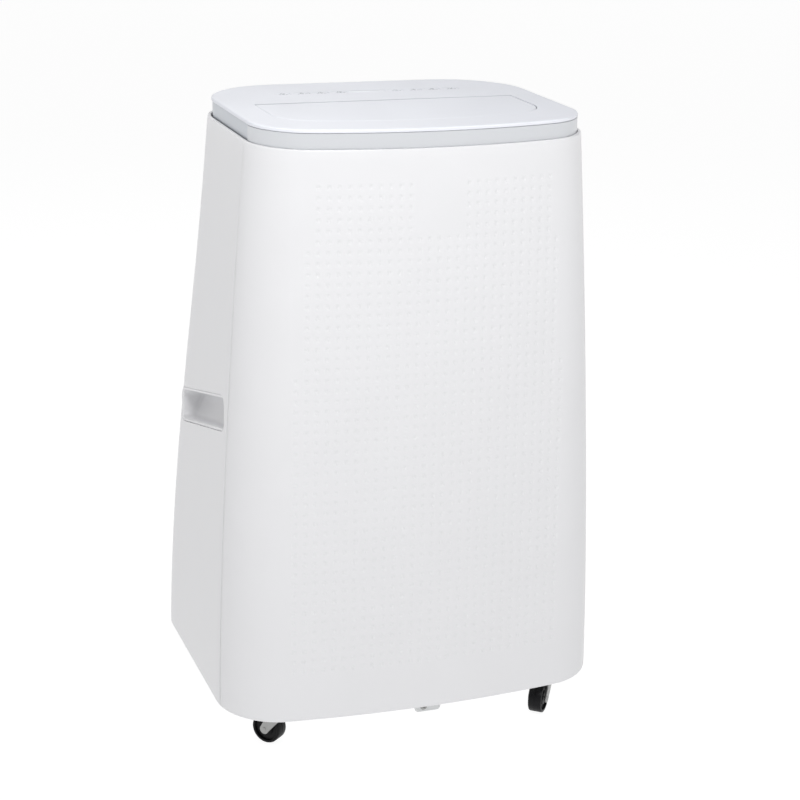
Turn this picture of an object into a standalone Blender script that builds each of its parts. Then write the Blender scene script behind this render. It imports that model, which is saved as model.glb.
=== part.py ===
"""A portable air conditioner, built piece by piece: shells, top outlet and flap,
keys, casters, rear grilles and the cooling works inside.

Metres, +Z up, front at -Y, +X to the right of a person facing the front.
The origin is on the floor under the middle of the object.
"""

import math

import bmesh
import bpy
from mathutils import Matrix, Vector

# ---- driving dimensions: the body ------------------------------------------
HEIGHT = 0.750                # floor to the top cover's face
HALF_WIDTH_LOW = 0.240        # half width at the lower edge
HALF_WIDTH_HIGH = 0.2028      # half width at the shoulder
FRONT_LOW = 0.200             # middle of the front face ahead of the origin, low
FRONT_HIGH = 0.1965           # the same at the shoulder
BACK_LOW = 0.1968             # rear wall behind the origin, low
BACK_HIGH = 0.142             # the same at the shoulder
FRONT_CORNER_LOW = 0.066
FRONT_CORNER_HIGH = 0.058
BACK_CORNER_LOW = 0.075
BACK_CORNER_HIGH = 0.098
FRONT_BOW_LOW = 0.021         # how far the front face curves back at its sides
FRONT_BOW_HIGH = 0.032
BACK_BOW = 0.0015
WALL = 0.0028                 # shell wall
SEAM_LOW = -0.124             # front cover to rear housing joint, low
SEAM_HIGH = -0.105            # the same at the shoulder
GAP = 0.0004                  # between pieces that touch
FIT = 0.0007                  # between pieces that drop into each other

# ---- top --------------------------------------------------------------------
SHOULDER_STEP = 0.0040        # silver band behind the shells' edge
PLATE = 0.0040                # top cover plate
BAND_HEIGHT = 0.0200
BAND_WALL = 0.0026
SKIRT_DEPTH = 0.026           # top cover's inner skirt
SKIRT_WALL = 0.0022
FLAP_HALF_WIDTH = 0.161
FLAP_FRONT = 0.139            # flap's front edge ahead of the origin, middle
FLAP_REAR = 0.0055            # flap's rear edge ahead of the origin
FLAP_CORNER = 0.040
FLAP_BOW = 0.026
FLAP_THICKNESS = 0.0026
FLAP_GAP = 0.0009             # round the flap's sides and front
FLAP_REAR_GAP = 0.0035        # behind the flap, where it swings
HINGE_BEHIND_FLAP_EDGE = 0.0050
HINGE_DROP = 0.0057           # hinge pin below the top face
PIN_RADIUS = 0.0015
PIN_PLAY = 0.0003
EAR_WALL = 0.0030
DUCT_WALL = 0.0020
DUCT_MARGIN = 0.0012          # duct's mouth outside the flap opening

# ---- keys and display -------------------------------------------------------
KEY_ROW = 0.0625              # row of keys behind the origin
KEY_WIDTH = 0.0185
KEY_DEPTH = 0.0130
KEY_PITCH = KEY_WIDTH + 0.0055
KEYS_PER_GROUP = 4
KEY_TRAVEL = 0.0008
KEY_GAP = 0.00035
KEY_FOOT = 0.0012             # retaining foot round each key
DISPLAY_WIDTH = 0.044
DISPLAY_DEPTH = 0.013
KEY_FIRST = (DISPLAY_WIDTH + KEY_WIDTH) / 2 + 0.00475    # inner key from the middle
BOARD_THICKNESS = 0.0016

# ---- vanes ------------------------------------------------------------------
VANE_COUNT = 5
VANE_PITCH = 0.055
VANE_CHORD = 0.040
VANE_THICKNESS = 0.0016
VANE_HEIGHT = 0.056
VANE_AXIS = 0.074             # vane pins ahead of the origin
VANE_CRANK = 0.018            # link pin behind the vane's own pin
RAIL_DEPTH = 0.0120
RAIL_THICKNESS = 0.0040
LINK_WIDTH = 0.0090
LINK_THICKNESS = 0.0020

# ---- handles ----------------------------------------------------------------
HANDLE_LENGTH = 0.205
HANDLE_HEIGHT = 0.040
HANDLE_SLANT = 14.0           # degrees, front end up
HANDLE_Z = 0.382
HANDLE_Y = 0.002
HANDLE_CORNER = 0.012
HANDLE_DEPTH = 0.030
HANDLE_LIP_DEPTH = 0.008
CUP_WALL = 0.0020
CUP_RIM = 0.0014
CUP_FLANGE = 0.0050
CUP_SET_BACK = 0.0048         # flange behind the wall, for the wall's curve
CUP_SINK = 0.0022             # rim's edge below the wall's face

# ---- rear -------------------------------------------------------------------
GRILLE_WIDTH = 0.270
UPPER_GRILLE_HEIGHT = 0.150
GRILLE_THICKNESS = 0.0040
GRILLE_RECESS = 0.0010
SLOT_COLUMNS = 3
SLOT_PITCH = 0.0120
SLOT_HEIGHT = 0.0075
GRILLE_BORDER = 0.012
SLOT_RIB = 0.008
FILTER_THICKNESS = 0.0030
COLLAR_RADIUS = 0.0660        # inside
COLLAR_WALL = 0.0026
COLLAR_STANDS_OUT = 0.018
PLUG_RADIUS = 0.0085
PLUG_HEAD = 0.0125
PLUG_LENGTH = 0.016
LOWER_PLUG_X = -0.120
UPPER_PLUG_X = 0.135
GLAND_X = 0.150
GLAND_RADIUS = 0.0085
GLAND_HEAD = 0.0130
CORD_BORE = 0.0038

# ---- base and casters -------------------------------------------------------
PAN_FLOOR = 0.0030
PAN_HEIGHT = 0.0420
TAB_WIDTH = 0.044
TAB_HEIGHT = 0.0140
TAB_THICKNESS = 0.0030
SCREW_HEAD = 0.0042
RIB_X = 0.062
RIB_WIDTH = 0.020
RIB_HEIGHT = 0.0045
CASTER_SIDE_INSET = 0.068     # swivel from the body's side, at its lower edge
CASTER_FRONT_INSET = 0.045
CASTER_BACK_INSET = 0.0618
CASTER_TRAIL = 0.016
WHEEL_RADIUS = 0.0190
WHEEL_WIDTH = 0.0170
AXLE_RADIUS = 0.0020
AXLE_PLAY = 0.00035
FORK_WALL = 0.0024
FORK_GAP = 0.0010             # wheel to fork leg
CROWN_THICKNESS = 0.0026
STEM_RADIUS = 0.0040
STEM_PLAY = 0.0004
STEM_LENGTH = 0.016
FRONT_LEFT_SWIVEL = 131.0     # degrees from +X to the trailing side, at rest
FRONT_RIGHT_SWIVEL = -130.0
BACK_LEFT_SWIVEL = 70.0
BACK_RIGHT_SWIVEL = 110.0

# ---- works inside -----------------------------------------------------------
DECK_THICKNESS = 0.0030
FAN_RADIUS = 0.082
FAN_WIDTH = 0.060
FAN_BORE = FAN_RADIUS - 0.020 # inner radius of the blade ring
FAN_BLADES = 14
FAN_CLEARANCE = 0.008
SCROLL_WALL = 0.0024
UPPER_OUTLET_HALF = 0.150
OUTLET_DEPTH = 0.088          # outlet duct's lower end below the top face
LOWER_FAN_X = 0.030
LOWER_FAN_FRONT = 0.085
MOTOR_RADIUS = 0.040
MOTOR_LENGTH = 0.042
SHAFT_RADIUS = 0.0040
SHAFT_PLAY = 0.0004
COIL_HALF_WIDTH = 0.130
COIL_THICKNESS = 0.030
COIL_FINS = 18
FIN_GAP_SHARE = 0.45
EVAPORATOR_FRONT = -0.055     # coil's front face, as distance ahead of the origin
COMPRESSOR_Y = -0.055
COMPRESSOR_RADIUS = 0.052
COMPRESSOR_HEIGHT = 0.205
TUBE_RADIUS = 0.0035
BOX_SIZE = (0.044, 0.090, 0.130)

# ---- places that follow from the sizes above ---------------------------------
CROWN_LOW = 2 * WHEEL_RADIUS + 0.0022       # caster fork's crown over its wheel
CROWN_HIGH = CROWN_LOW + CROWN_THICKNESS
PAN_BOTTOM = CROWN_HIGH + 0.0032            # room under the pan for the swivel
BODY_BOTTOM = PAN_BOTTOM - 0.0015           # shells' lower edge, just below the pan
SHOULDER = HEIGHT - 0.022                   # shells' upper edge, below the silver band
PAN_TOP = PAN_BOTTOM + PAN_HEIGHT
TAB_BOTTOM = PAN_BOTTOM - TAB_HEIGHT
TAB_FRONT = FRONT_LOW - 0.013               # tab's front face ahead of the origin
RIB_BOTTOM = PAN_BOTTOM - RIB_HEIGHT
CASTER_X = HALF_WIDTH_LOW - CASTER_SIDE_INSET
CASTER_FRONT = FRONT_LOW - CASTER_FRONT_INSET
CASTER_BACK = BACK_LOW - CASTER_BACK_INSET

UPPER_SCROLL_TOP = HEIGHT - OUTLET_DEPTH
UPPER_FAN_FRONT = FRONT_HIGH - 0.0745       # upper scroll's front face, room for a motor
UPPER_FAN_Z = UPPER_SCROLL_TOP - FAN_RADIUS - 0.045
DECK_Z = UPPER_FAN_Z - FAN_RADIUS - 0.046
DECK_HALF_WIDTH = HALF_WIDTH_HIGH - 0.0268
DECK_FRONT = FRONT_HIGH - 0.0315
DECK_BACK = BACK_HIGH - 0.027
LOWER_SCROLL_TOP = DECK_Z - 0.003
LOWER_FAN_Z = PAN_TOP + FAN_RADIUS + 0.030
COLLAR_Z = DECK_Z - COLLAR_RADIUS - 0.006
UPPER_GRILLE_Z = HEIGHT - UPPER_GRILLE_HEIGHT / 2 - 0.090
LOWER_GRILLE_LOW = PAN_TOP + 0.027
LOWER_GRILLE_HIGH = COLLAR_Z - COLLAR_RADIUS - 0.024
LOWER_GRILLE_HEIGHT = LOWER_GRILLE_HIGH - LOWER_GRILLE_LOW
LOWER_GRILLE_Z = (LOWER_GRILLE_LOW + LOWER_GRILLE_HIGH) / 2
UPPER_PLUG_Z = COLLAR_Z - 0.035
GLAND_Z = PAN_TOP + 0.017
EVAPORATOR_LOW = DECK_Z + 0.043
EVAPORATOR_HIGH = HEIGHT - 0.095
CONDENSER_FRONT = 0.0768 - BACK_LOW
CONDENSER_LOW = PAN_TOP + 0.010
CONDENSER_HIGH = COLLAR_Z - COLLAR_RADIUS - 0.007
COMPRESSOR_X = 0.080 - HALF_WIDTH_LOW
BOX_WALL_X = 0.0168 - HALF_WIDTH_HIGH       # electrics box's outer side

# ---- smoothness of round shapes ---------------------------------------------
CORNER_STEPS = 5
FRONT_STEPS = 5
LEVELS = 8
ROUND = 24
SMALL_ROUND = 10
PLUG_ROUND = 16

COLOURS = {                   # colour, roughness, metallic
    "white_shell": ((0.86, 0.87, 0.89), 0.30, 0.0),
    "top_white": ((0.84, 0.86, 0.89), 0.28, 0.0),
    "silver_band": ((0.58, 0.60, 0.63), 0.32, 0.6),
    "key_print": ((0.80, 0.82, 0.86), 0.35, 0.0),
    "smoked_lens": ((0.78, 0.80, 0.84), 0.15, 0.0),
    "inner_plastic": ((0.62, 0.64, 0.66), 0.50, 0.0),
    "black_plastic": ((0.02, 0.02, 0.022), 0.45, 0.0),
    "caster_fork": ((0.03, 0.03, 0.032), 0.40, 0.0),
    "caster_tread": ((0.015, 0.015, 0.016), 0.60, 0.0),
    "steel": ((0.60, 0.60, 0.61), 0.35, 1.0),
    "coated_steel": ((0.32, 0.33, 0.35), 0.45, 0.6),
    "black_paint": ((0.03, 0.03, 0.035), 0.40, 0.0),
    "fin_aluminium": ((0.72, 0.73, 0.74), 0.40, 1.0),
    "copper_tube": ((0.72, 0.43, 0.30), 0.35, 1.0),
    "filter_mesh": ((0.12, 0.13, 0.14), 0.80, 0.0),
    "board_green": ((0.05, 0.22, 0.10), 0.50, 0.0),
    "drain_rubber": ((0.04, 0.04, 0.04), 0.75, 0.0),
}

# ---- making and placing meshes ----------------------------------------------


def clear_scene():
    for item in list(bpy.data.objects):
        bpy.data.objects.remove(item, do_unlink=True)


def collection(name):
    group = bpy.data.collections.new(name)
    bpy.context.scene.collection.children.link(group)
    return group


def material(slot):
    found = bpy.data.materials.get(slot)
    if found:
        return found
    colour, roughness, metallic = COLOURS[slot]
    found = bpy.data.materials.new(slot)
    found.use_nodes = True
    shader = found.node_tree.nodes["Principled BSDF"]
    shader.inputs["Base Color"].default_value = (*colour, 1.0)
    shader.inputs["Roughness"].default_value = roughness
    shader.inputs["Metallic"].default_value = metallic
    return found


def add(name, slot, shape, origin=(0, 0, 0), turn=Matrix()):
    """Make an object of a bmesh; slot None makes a cutter or a shape to join."""
    mesh = bpy.data.meshes.new(name)
    shape.to_mesh(mesh)
    shape.free()
    mesh.shade_smooth()
    mesh.set_sharp_from_angle(angle=math.radians(32))
    item = bpy.data.objects.new(name, mesh)
    item.matrix_world = Matrix.Translation(origin) @ turn
    if slot is None:
        tools.objects.link(item)
        item.hide_render = True
        item.display_type = "WIRE"
    else:
        mesh.materials.append(material(slot))
        body.objects.link(item)
    return item


def boolean(item, operation, others):
    for other in others:
        step = item.modifiers.new(f"{operation.lower()} {other.name}", "BOOLEAN")
        step.operation = operation
        step.object = other
    return item


def cut(item, *cutters):
    return boolean(item, "DIFFERENCE", cutters)


def join(item, *extras):
    return boolean(item, "UNION", extras)


def round_edges(item, width, segments=1):
    step = item.modifiers.new("rounded edges", "BEVEL")
    step.width = width
    step.segments = segments
    step.limit_method = "ANGLE"
    return item


def block(name, slot, low, high, origin=None, turn=Matrix()):
    """A box between two corners; its origin is its middle unless one is given."""
    low, high = Vector(low), Vector(high)
    middle = (low + high) / 2
    origin = middle if origin is None else Vector(origin)
    shape = bmesh.new()
    place = Matrix.Translation(middle - origin) @ Matrix.Diagonal((*(high - low), 1))
    bmesh.ops.create_cube(shape, size=1, matrix=place)
    return add(name, slot, shape, origin, turn)


def boxes(name, size, places):
    """One cutter of many equal boxes, each at its own place."""
    shape = bmesh.new()
    for place in places:
        bmesh.ops.create_cube(shape, size=1, matrix=place @ Matrix.Diagonal((*size, 1)))
    return add(name, None, shape)


def rod(name, slot, radius, start, end, sides=SMALL_ROUND, origin=None):
    """A round bar from start to end."""
    start, end = Vector(start), Vector(end)
    middle = (start + end) / 2
    origin = middle if origin is None else Vector(origin)
    turn = (end - start).to_track_quat("Z", "Y").to_matrix().to_4x4()
    shape = bmesh.new()
    bmesh.ops.create_cone(shape, cap_ends=True, segments=sides, radius1=radius, radius2=radius,
                          depth=(end - start).length,
                          matrix=Matrix.Translation(middle - origin) @ turn)
    return add(name, slot, shape, origin)


def turned(name, slot, profile, origin, axis, steps=ROUND, ring=True):
    """A turned shape: (radius, height) points run down the outer side."""
    shape = bmesh.new()
    points = [shape.verts.new((radius, 0, height)) for radius, height in profile]
    for first, second in zip(points, points[1:]):
        shape.edges.new((first, second))
    if ring:
        shape.edges.new((points[-1], points[0]))
    turn = Vector(axis).to_track_quat("Z", "Y").to_matrix().to_4x4()
    item = add(name, slot, shape, origin, turn)
    screw = item.modifiers.new("turned", "SCREW")
    screw.steps = screw.render_steps = steps
    screw.use_merge_vertices = True
    screw.merge_threshold = 0.00001
    screw.use_smooth_shade = True
    return item


def loft(name, slot, rings, closed=False, origin=(0, 0, 0), turn=Matrix()):
    """Skin between rings of equal count, each counter-clockwise from outside."""
    shape = bmesh.new()
    loops = [[shape.verts.new(point) for point in ring] for ring in rings]
    count = len(loops[0])
    pairs = list(zip(loops, loops[1:]))
    if closed:
        pairs.append((loops[-1], loops[0]))
    else:
        shape.faces.new(list(reversed(loops[0])))
        shape.faces.new(loops[-1])
    for low, high in pairs:
        for index in range(count):
            after = (index + 1) % count
            shape.faces.new((low[index], low[after], high[after], high[index]))
    return add(name, slot, shape, origin, turn)


# ---- outlines ---------------------------------------------------------------


def plan(half_width, front, back, front_corner, back_corner, front_bow, back_bow):
    """Rounded outline seen from above, counter-clockwise from the front middle."""
    half = []
    flat = half_width - front_corner
    for step in range(FRONT_STEPS):
        half.append(Vector((flat * step / FRONT_STEPS, -front)))
    for step in range(CORNER_STEPS + 1):
        turn = math.radians(-90 + 90 * step / CORNER_STEPS)
        half.append(Vector((flat + front_corner * math.cos(turn),
                            -front + front_corner + front_corner * math.sin(turn))))
    flat = half_width - back_corner
    for step in range(CORNER_STEPS + 1):
        turn = math.radians(90 * step / CORNER_STEPS)
        half.append(Vector((flat + back_corner * math.cos(turn),
                            back - back_corner + back_corner * math.sin(turn))))
    for step in range(1, 3):
        half.append(Vector((flat * (1 - step / 2), back)))
    for index, point in enumerate(half):
        share = (point.x / half_width) ** 2
        point.y += front_bow * share if index <= FRONT_STEPS + CORNER_STEPS else -back_bow * share
    mirrored = [Vector((-point.x, point.y)) for point in reversed(half[1:-1])]
    return half + mirrored


def at_height(outline, z):
    return [Vector((point.x, point.y, z)) for point in outline]


def between(low, high, share):
    return low + (high - low) * share


def rise(z):
    return min(max((z - BODY_BOTTOM) / (SHOULDER - BODY_BOTTOM), 0.0), 1.0)


def half_width_at(z):
    return between(HALF_WIDTH_LOW, HALF_WIDTH_HIGH, rise(z) ** 1.45)


def back_at(z):
    """The rear wall runs upright, leans in over the middle and is upright again."""
    share = min(1.1 * rise(z), 1.0) ** 1.25
    return between(BACK_LOW, BACK_HIGH, share * share * (3 - 2 * share))


def section(z, inset=0.0):
    """The body's outline at a height, moved in by inset."""
    share = rise(z)
    return plan(half_width_at(z) - inset,
                between(FRONT_LOW, FRONT_HIGH, share) - inset,
                back_at(z) - inset,
                between(FRONT_CORNER_LOW, FRONT_CORNER_HIGH, share) - inset,
                between(BACK_CORNER_LOW, BACK_CORNER_HIGH, share) - inset,
                between(FRONT_BOW_LOW, FRONT_BOW_HIGH, share), BACK_BOW)


def body_ring(z, inset=0.0):
    return at_height(section(z, inset), z)


def top_ring(z, inset=0.0):
    """The top cover's outline, which keeps to the shoulder's shape."""
    return at_height(section(SHOULDER, SHOULDER_STEP + GAP + inset), z)


def rounded(half_x, half_y, corner, steps=2):
    """A rounded rectangle about the middle, counter-clockwise."""
    points = []
    for quarter, (side_x, side_y) in enumerate(((1, -1), (1, 1), (-1, 1), (-1, -1))):
        for step in range(steps + 1):
            turn = math.radians(-90 + 90 * quarter + 90 * step / steps)
            points.append(Vector((side_x * (half_x - corner) + corner * math.cos(turn),
                                  side_y * (half_y - corner) + corner * math.sin(turn))))
    return points


def flap_outline(grow=0.0, grow_back=0.0):
    back = -FLAP_REAR + grow_back
    return plan(FLAP_HALF_WIDTH + grow, FLAP_FRONT + grow, back, FLAP_CORNER, 0.002,
                FLAP_BOW, 0.0)


def rear_spot(x, z, sink=0.0):
    """A place on the rear wall: local +Y points straight out of the wall."""
    lean = math.atan((back_at(z - 0.02) - back_at(z + 0.02)) / 0.04)
    on_wall = Matrix.Translation((x, back_at(z) - BACK_BOW * (x / half_width_at(z)) ** 2, z))
    return on_wall @ Matrix.Rotation(lean, 4, "X") @ Matrix.Translation((0, -sink, 0))


def side_spot(side):
    """A place in the middle of a handle: local +Z points out of the side wall."""
    lean = math.atan((half_width_at(HANDLE_Z - 0.03) - half_width_at(HANDLE_Z + 0.03)) / 0.06)
    outward = Vector((side * math.cos(lean), 0, math.sin(lean)))
    along = Vector((0, side * math.cos(math.radians(HANDLE_SLANT)),
                    -side * math.sin(math.radians(HANDLE_SLANT))))
    along -= outward * along.dot(outward)
    along.normalize()
    up = outward.cross(along)
    turn = Matrix((along, up, outward)).transposed().to_4x4()
    return Matrix.Translation((side * half_width_at(HANDLE_Z), HANDLE_Y, HANDLE_Z)) @ turn


def split(place):
    """A matrix's place and its turn, for add()."""
    return place.to_translation(), place.to_3x3().to_4x4()


# ---- shells -----------------------------------------------------------------


WALL_HEIGHTS = [between(BODY_BOTTOM, SHOULDER - 0.0012, step / (LEVELS - 1))
                for step in range(LEVELS)]


def wall_ring(z, inset):
    """A ring inside the wall, which runs straight from each level to the next."""
    step = max(count for count in range(LEVELS - 1) if WALL_HEIGHTS[count] <= z or count == 0)
    low, high = WALL_HEIGHTS[step:step + 2]
    share = (z - low) / (high - low)
    return [first.lerp(second, share)
            for first, second in zip(body_ring(low, inset), body_ring(high, inset))]


def shell_tube(name, slot):
    """The whole body wall as one tube, with a shoulder at its top edge."""
    heights = WALL_HEIGHTS
    outer = [body_ring(z) for z in heights]
    inner = [body_ring(z, WALL) for z in heights]
    inner[-1] = body_ring(SHOULDER - 0.0045, WALL)
    lip = [body_ring(SHOULDER, 0.0010), body_ring(SHOULDER, SHOULDER_STEP),
           body_ring(SHOULDER - 0.0030, SHOULDER_STEP)]
    return loft(name, slot, outer + lip + list(reversed(inner)), closed=True)


def seam_block(name, keep_front):
    """A large box behind (or ahead of) the sloping joint between the shells."""
    lean = math.atan((SEAM_HIGH - SEAM_LOW) / (SHOULDER - BODY_BOTTOM))
    size = 1.2
    middle = Vector((0, (SEAM_LOW + SEAM_HIGH) / 2, (SHOULDER + BODY_BOTTOM) / 2))
    turn = Matrix.Rotation(-lean, 4, "X")
    shift = size / 2 if keep_front else GAP - size / 2
    shape = bmesh.new()
    bmesh.ops.create_cube(shape, size=size, matrix=Matrix.Translation((0, shift, 0)))
    return add(name, None, shape, middle, turn)


def handle_cutter(name, side, grow):
    ring = rounded(HANDLE_LENGTH / 2 + grow, HANDLE_HEIGHT / 2 + grow, HANDLE_CORNER + grow, 4)
    origin, turn = split(side_spot(side))
    return loft(name, None, [at_height(ring, -0.02), at_height(ring, 0.02)],
                origin=origin, turn=turn)


def rear_box(name, spot, width, height, depth_in=0.03, depth_out=0.02):
    low = (-width / 2, -depth_in, -height / 2)
    high = (width / 2, depth_out, height / 2)
    origin, turn = split(spot)
    return block(name, None, low, high, origin=(0, 0, 0), turn=Matrix.Translation(origin) @ turn)


def rear_hole(name, spot, radius, sides, depth_in=0.03, depth_out=0.03):
    return rod(name, None, radius, spot @ Vector((0, -depth_in, 0)),
               spot @ Vector((0, depth_out, 0)), sides)


def make_shells():
    front = shell_tube("front_cover", "white_shell")
    cut(front, seam_block("behind_seam", True))

    rear = shell_tube("rear_housing", "white_shell")
    cut(rear, seam_block("ahead_of_seam", False))
    for side, word in ((-1, "left"), (1, "right")):
        cut(rear, handle_cutter(f"handle_opening_{word}", side, CUP_RIM + FIT))
    for word, z, height in (("upper", UPPER_GRILLE_Z, UPPER_GRILLE_HEIGHT),
                            ("lower", LOWER_GRILLE_Z, LOWER_GRILLE_HEIGHT)):
        cut(rear, rear_box(f"{word}_grille_opening", rear_spot(0, z),
                           GRILLE_WIDTH + 2 * FIT, height + 2 * FIT))
    collar_hole = rod("collar_hole", None, COLLAR_RADIUS + COLLAR_WALL + FIT,
                      (0, BACK_HIGH - 0.02, COLLAR_Z), (0, BACK_LOW + 0.05, COLLAR_Z), ROUND)
    cut(rear, collar_hole)
    cut(rear, rear_hole("upper_plug_hole", rear_spot(UPPER_PLUG_X, UPPER_PLUG_Z),
                        PLUG_RADIUS + GAP, PLUG_ROUND))
    cut(rear, rear_hole("gland_hole", rear_spot(GLAND_X, GLAND_Z), GLAND_RADIUS + GAP,
                        PLUG_ROUND))
    cut(rear, rear_hole("lower_plug_hole_rear", lower_plug_spot(), PLUG_RADIUS + GAP,
                        PLUG_ROUND))


def make_handle_cups():
    """Scooped grips that close the handle openings from inside."""
    behind = -(WALL + CUP_SET_BACK)
    for side, word in ((-1, "left"), (1, "right")):
        mouth = rounded(HANDLE_LENGTH / 2, HANDLE_HEIGHT / 2, HANDLE_CORNER, 4)
        floor = rounded(HANDLE_LENGTH / 2 - 0.006, HANDLE_HEIGHT / 2 - 0.002,
                        HANDLE_CORNER - 0.002, 4)
        outside = rounded(HANDLE_LENGTH / 2 - 0.006 + CUP_WALL,
                          HANDLE_HEIGHT / 2 - 0.002 + CUP_WALL, HANDLE_CORNER, 4)
        neck = rounded(HANDLE_LENGTH / 2 + CUP_WALL, HANDLE_HEIGHT / 2 + CUP_WALL,
                       HANDLE_CORNER + CUP_WALL, 4)
        flange = rounded(HANDLE_LENGTH / 2 + CUP_FLANGE, HANDLE_HEIGHT / 2 + CUP_FLANGE,
                         HANDLE_CORNER + CUP_FLANGE, 4)
        rim = rounded(HANDLE_LENGTH / 2 + CUP_RIM, HANDLE_HEIGHT / 2 + CUP_RIM,
                      HANDLE_CORNER + CUP_RIM, 4)

        def scoop(ring, extra):
            points = []
            for point in ring:
                share = point.y / HANDLE_HEIGHT + 0.5
                depth = between(HANDLE_LIP_DEPTH, HANDLE_DEPTH, share) + extra
                points.append(Vector((point.x, point.y, behind - depth)))
            return points

        rings = [scoop(outside, CUP_WALL),
                 at_height(neck, behind - CUP_WALL),
                 at_height(flange, behind - CUP_WALL),
                 at_height(flange, behind),
                 at_height(rim, behind),
                 at_height(rim, -CUP_SINK),
                 at_height(mouth, -CUP_SINK),
                 scoop(floor, 0.0)]
        origin, turn = split(side_spot(side))
        loft(f"handle_cup_{word}", "white_shell", rings, origin=origin, turn=turn)


# ---- top cover, band, flap and duct -----------------------------------------

UNDER_PLATE = HEIGHT - PLATE
BAND_TOP = UNDER_PLATE - GAP
BAND_BOTTOM = BAND_TOP - BAND_HEIGHT
SKIRT_INSET = BAND_WALL + 2 * GAP


def key_places():
    """The keys' middles, left to right."""
    right = [KEY_FIRST + KEY_PITCH * step for step in range(KEYS_PER_GROUP)]
    return [-x for x in reversed(right)] + right


def make_top_cover():
    rings = [top_ring(UNDER_PLATE, SKIRT_INSET + SKIRT_WALL),
             top_ring(UNDER_PLATE - SKIRT_DEPTH, SKIRT_INSET + SKIRT_WALL),
             top_ring(UNDER_PLATE - SKIRT_DEPTH, SKIRT_INSET),
             top_ring(UNDER_PLATE, SKIRT_INSET),
             top_ring(UNDER_PLATE),
             top_ring(HEIGHT - 0.0022),
             top_ring(HEIGHT - 0.0007, 0.0007),
             top_ring(HEIGHT, 0.0022)]
    cover = loft("top_cover", "top_white", rings)
    hole = flap_outline(FLAP_GAP, FLAP_REAR_GAP)
    cut(cover, loft("flap_opening", None, [at_height(hole, UNDER_PLATE - 0.01),
                                           at_height(hole, HEIGHT + 0.01)]))
    for number, x in enumerate(key_places(), 1):
        ring = [point + Vector((x, KEY_ROW)) for point in
                rounded(KEY_WIDTH / 2 + KEY_GAP, KEY_DEPTH / 2 + KEY_GAP, 0.0022 + KEY_GAP)]
        cut(cover, loft(f"key_opening_{number}", None, [at_height(ring, UNDER_PLATE - 0.002),
                                                        at_height(ring, HEIGHT + 0.002)]))
    cut(cover, block("display_opening", None,
                     (-DISPLAY_WIDTH / 2 - KEY_GAP, KEY_ROW - DISPLAY_DEPTH / 2 - KEY_GAP,
                      UNDER_PLATE - 0.002),
                     (DISPLAY_WIDTH / 2 + KEY_GAP, KEY_ROW + DISPLAY_DEPTH / 2 + KEY_GAP,
                      HEIGHT + 0.002)))
    round_edges(block("display_lens", "smoked_lens",
                      (-DISPLAY_WIDTH / 2, KEY_ROW - DISPLAY_DEPTH / 2, UNDER_PLATE - 0.0005),
                      (DISPLAY_WIDTH / 2, KEY_ROW + DISPLAY_DEPTH / 2, HEIGHT - 0.0001)), 0.0003)


def make_bands():
    """The silver ring under the top cover, in a front and a rear length."""
    for name, slot, keep_front in (("front_band", "silver_band", True),
                                   ("rear_band", "silver_band", False)):
        inset = 0.0004 if keep_front else 0.0007
        rings = [top_ring(BAND_BOTTOM, inset), top_ring(BAND_TOP, inset),
                 top_ring(BAND_TOP, BAND_WALL), top_ring(BAND_BOTTOM, BAND_WALL)]
        band = loft(name, slot, rings, closed=True)
        cut(band, seam_block(f"{name}_seam", keep_front))


def make_keys():
    for number, x in enumerate(key_places(), 1):
        foot = rounded(KEY_WIDTH / 2 + KEY_FOOT, KEY_DEPTH / 2 + KEY_FOOT, 0.0022)
        cap = rounded(KEY_WIDTH / 2, KEY_DEPTH / 2, 0.0022)
        face = rounded(KEY_WIDTH / 2 - 0.0003, KEY_DEPTH / 2 - 0.0003, 0.0020)
        top = HEIGHT - 0.0001
        under = UNDER_PLATE - GAP - top
        rings = [at_height(foot, under - 0.0010), at_height(foot, under), at_height(cap, under),
                 at_height(cap, -0.0003), at_height(face, 0.0)]
        loft(f"key_{number}", "key_print", rings, origin=(x, KEY_ROW, top))
    board_top = UNDER_PLATE - GAP - 0.0010 - KEY_TRAVEL - 0.0006
    reach = KEY_FIRST + KEY_PITCH * (KEYS_PER_GROUP - 1) + KEY_WIDTH / 2 + 0.004
    round_edges(block("control_board", "board_green",
                      (-reach, KEY_ROW - 0.020, board_top - BOARD_THICKNESS),
                      (reach, KEY_ROW + 0.020, board_top)), 0.0003)


HINGE_Y = -FLAP_REAR - HINGE_BEHIND_FLAP_EDGE
HINGE_Z = HEIGHT - HINGE_DROP
EAR_X = FLAP_HALF_WIDTH - 0.007


def make_flap():
    """The outlet flap: a curved-front plate with an ear and a pin at each end."""
    hinge = Vector((0, HINGE_Y, HINGE_Z))
    outline = [point - hinge.to_2d() for point in flap_outline()]
    face = [point - hinge.to_2d() for point in flap_outline(-0.0006, -0.0006)]
    top = HEIGHT - 0.0001 - HINGE_Z
    rings = [at_height(outline, top - FLAP_THICKNESS), at_height(outline, top - 0.0006),
             at_height(face, top)]
    flap = loft("outlet_flap", "top_white", rings, origin=hinge)
    for side, word in ((-1, "left"), (1, "right")):
        reach = sorted((side * (EAR_X - EAR_WALL), side * EAR_X))
        ear = block(f"flap_ear_{word}", None, (reach[0], HINGE_Y - 0.0045, HINGE_Z - 0.0028),
                    (reach[1], HINGE_Y + 0.0028, HEIGHT - 0.0015))
        pin = rod(f"flap_pin_{word}", None, PIN_RADIUS,
                  (side * (EAR_X - EAR_WALL / 2), HINGE_Y, HINGE_Z),
                  (side * (duct_half_width() + DUCT_WALL - 0.0003), HINGE_Y, HINGE_Z), 12)
        join(flap, ear, pin)


def duct_half_width():
    """Half the duct's inside width at its mouth."""
    return FLAP_HALF_WIDTH + FLAP_GAP + DUCT_MARGIN


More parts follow.
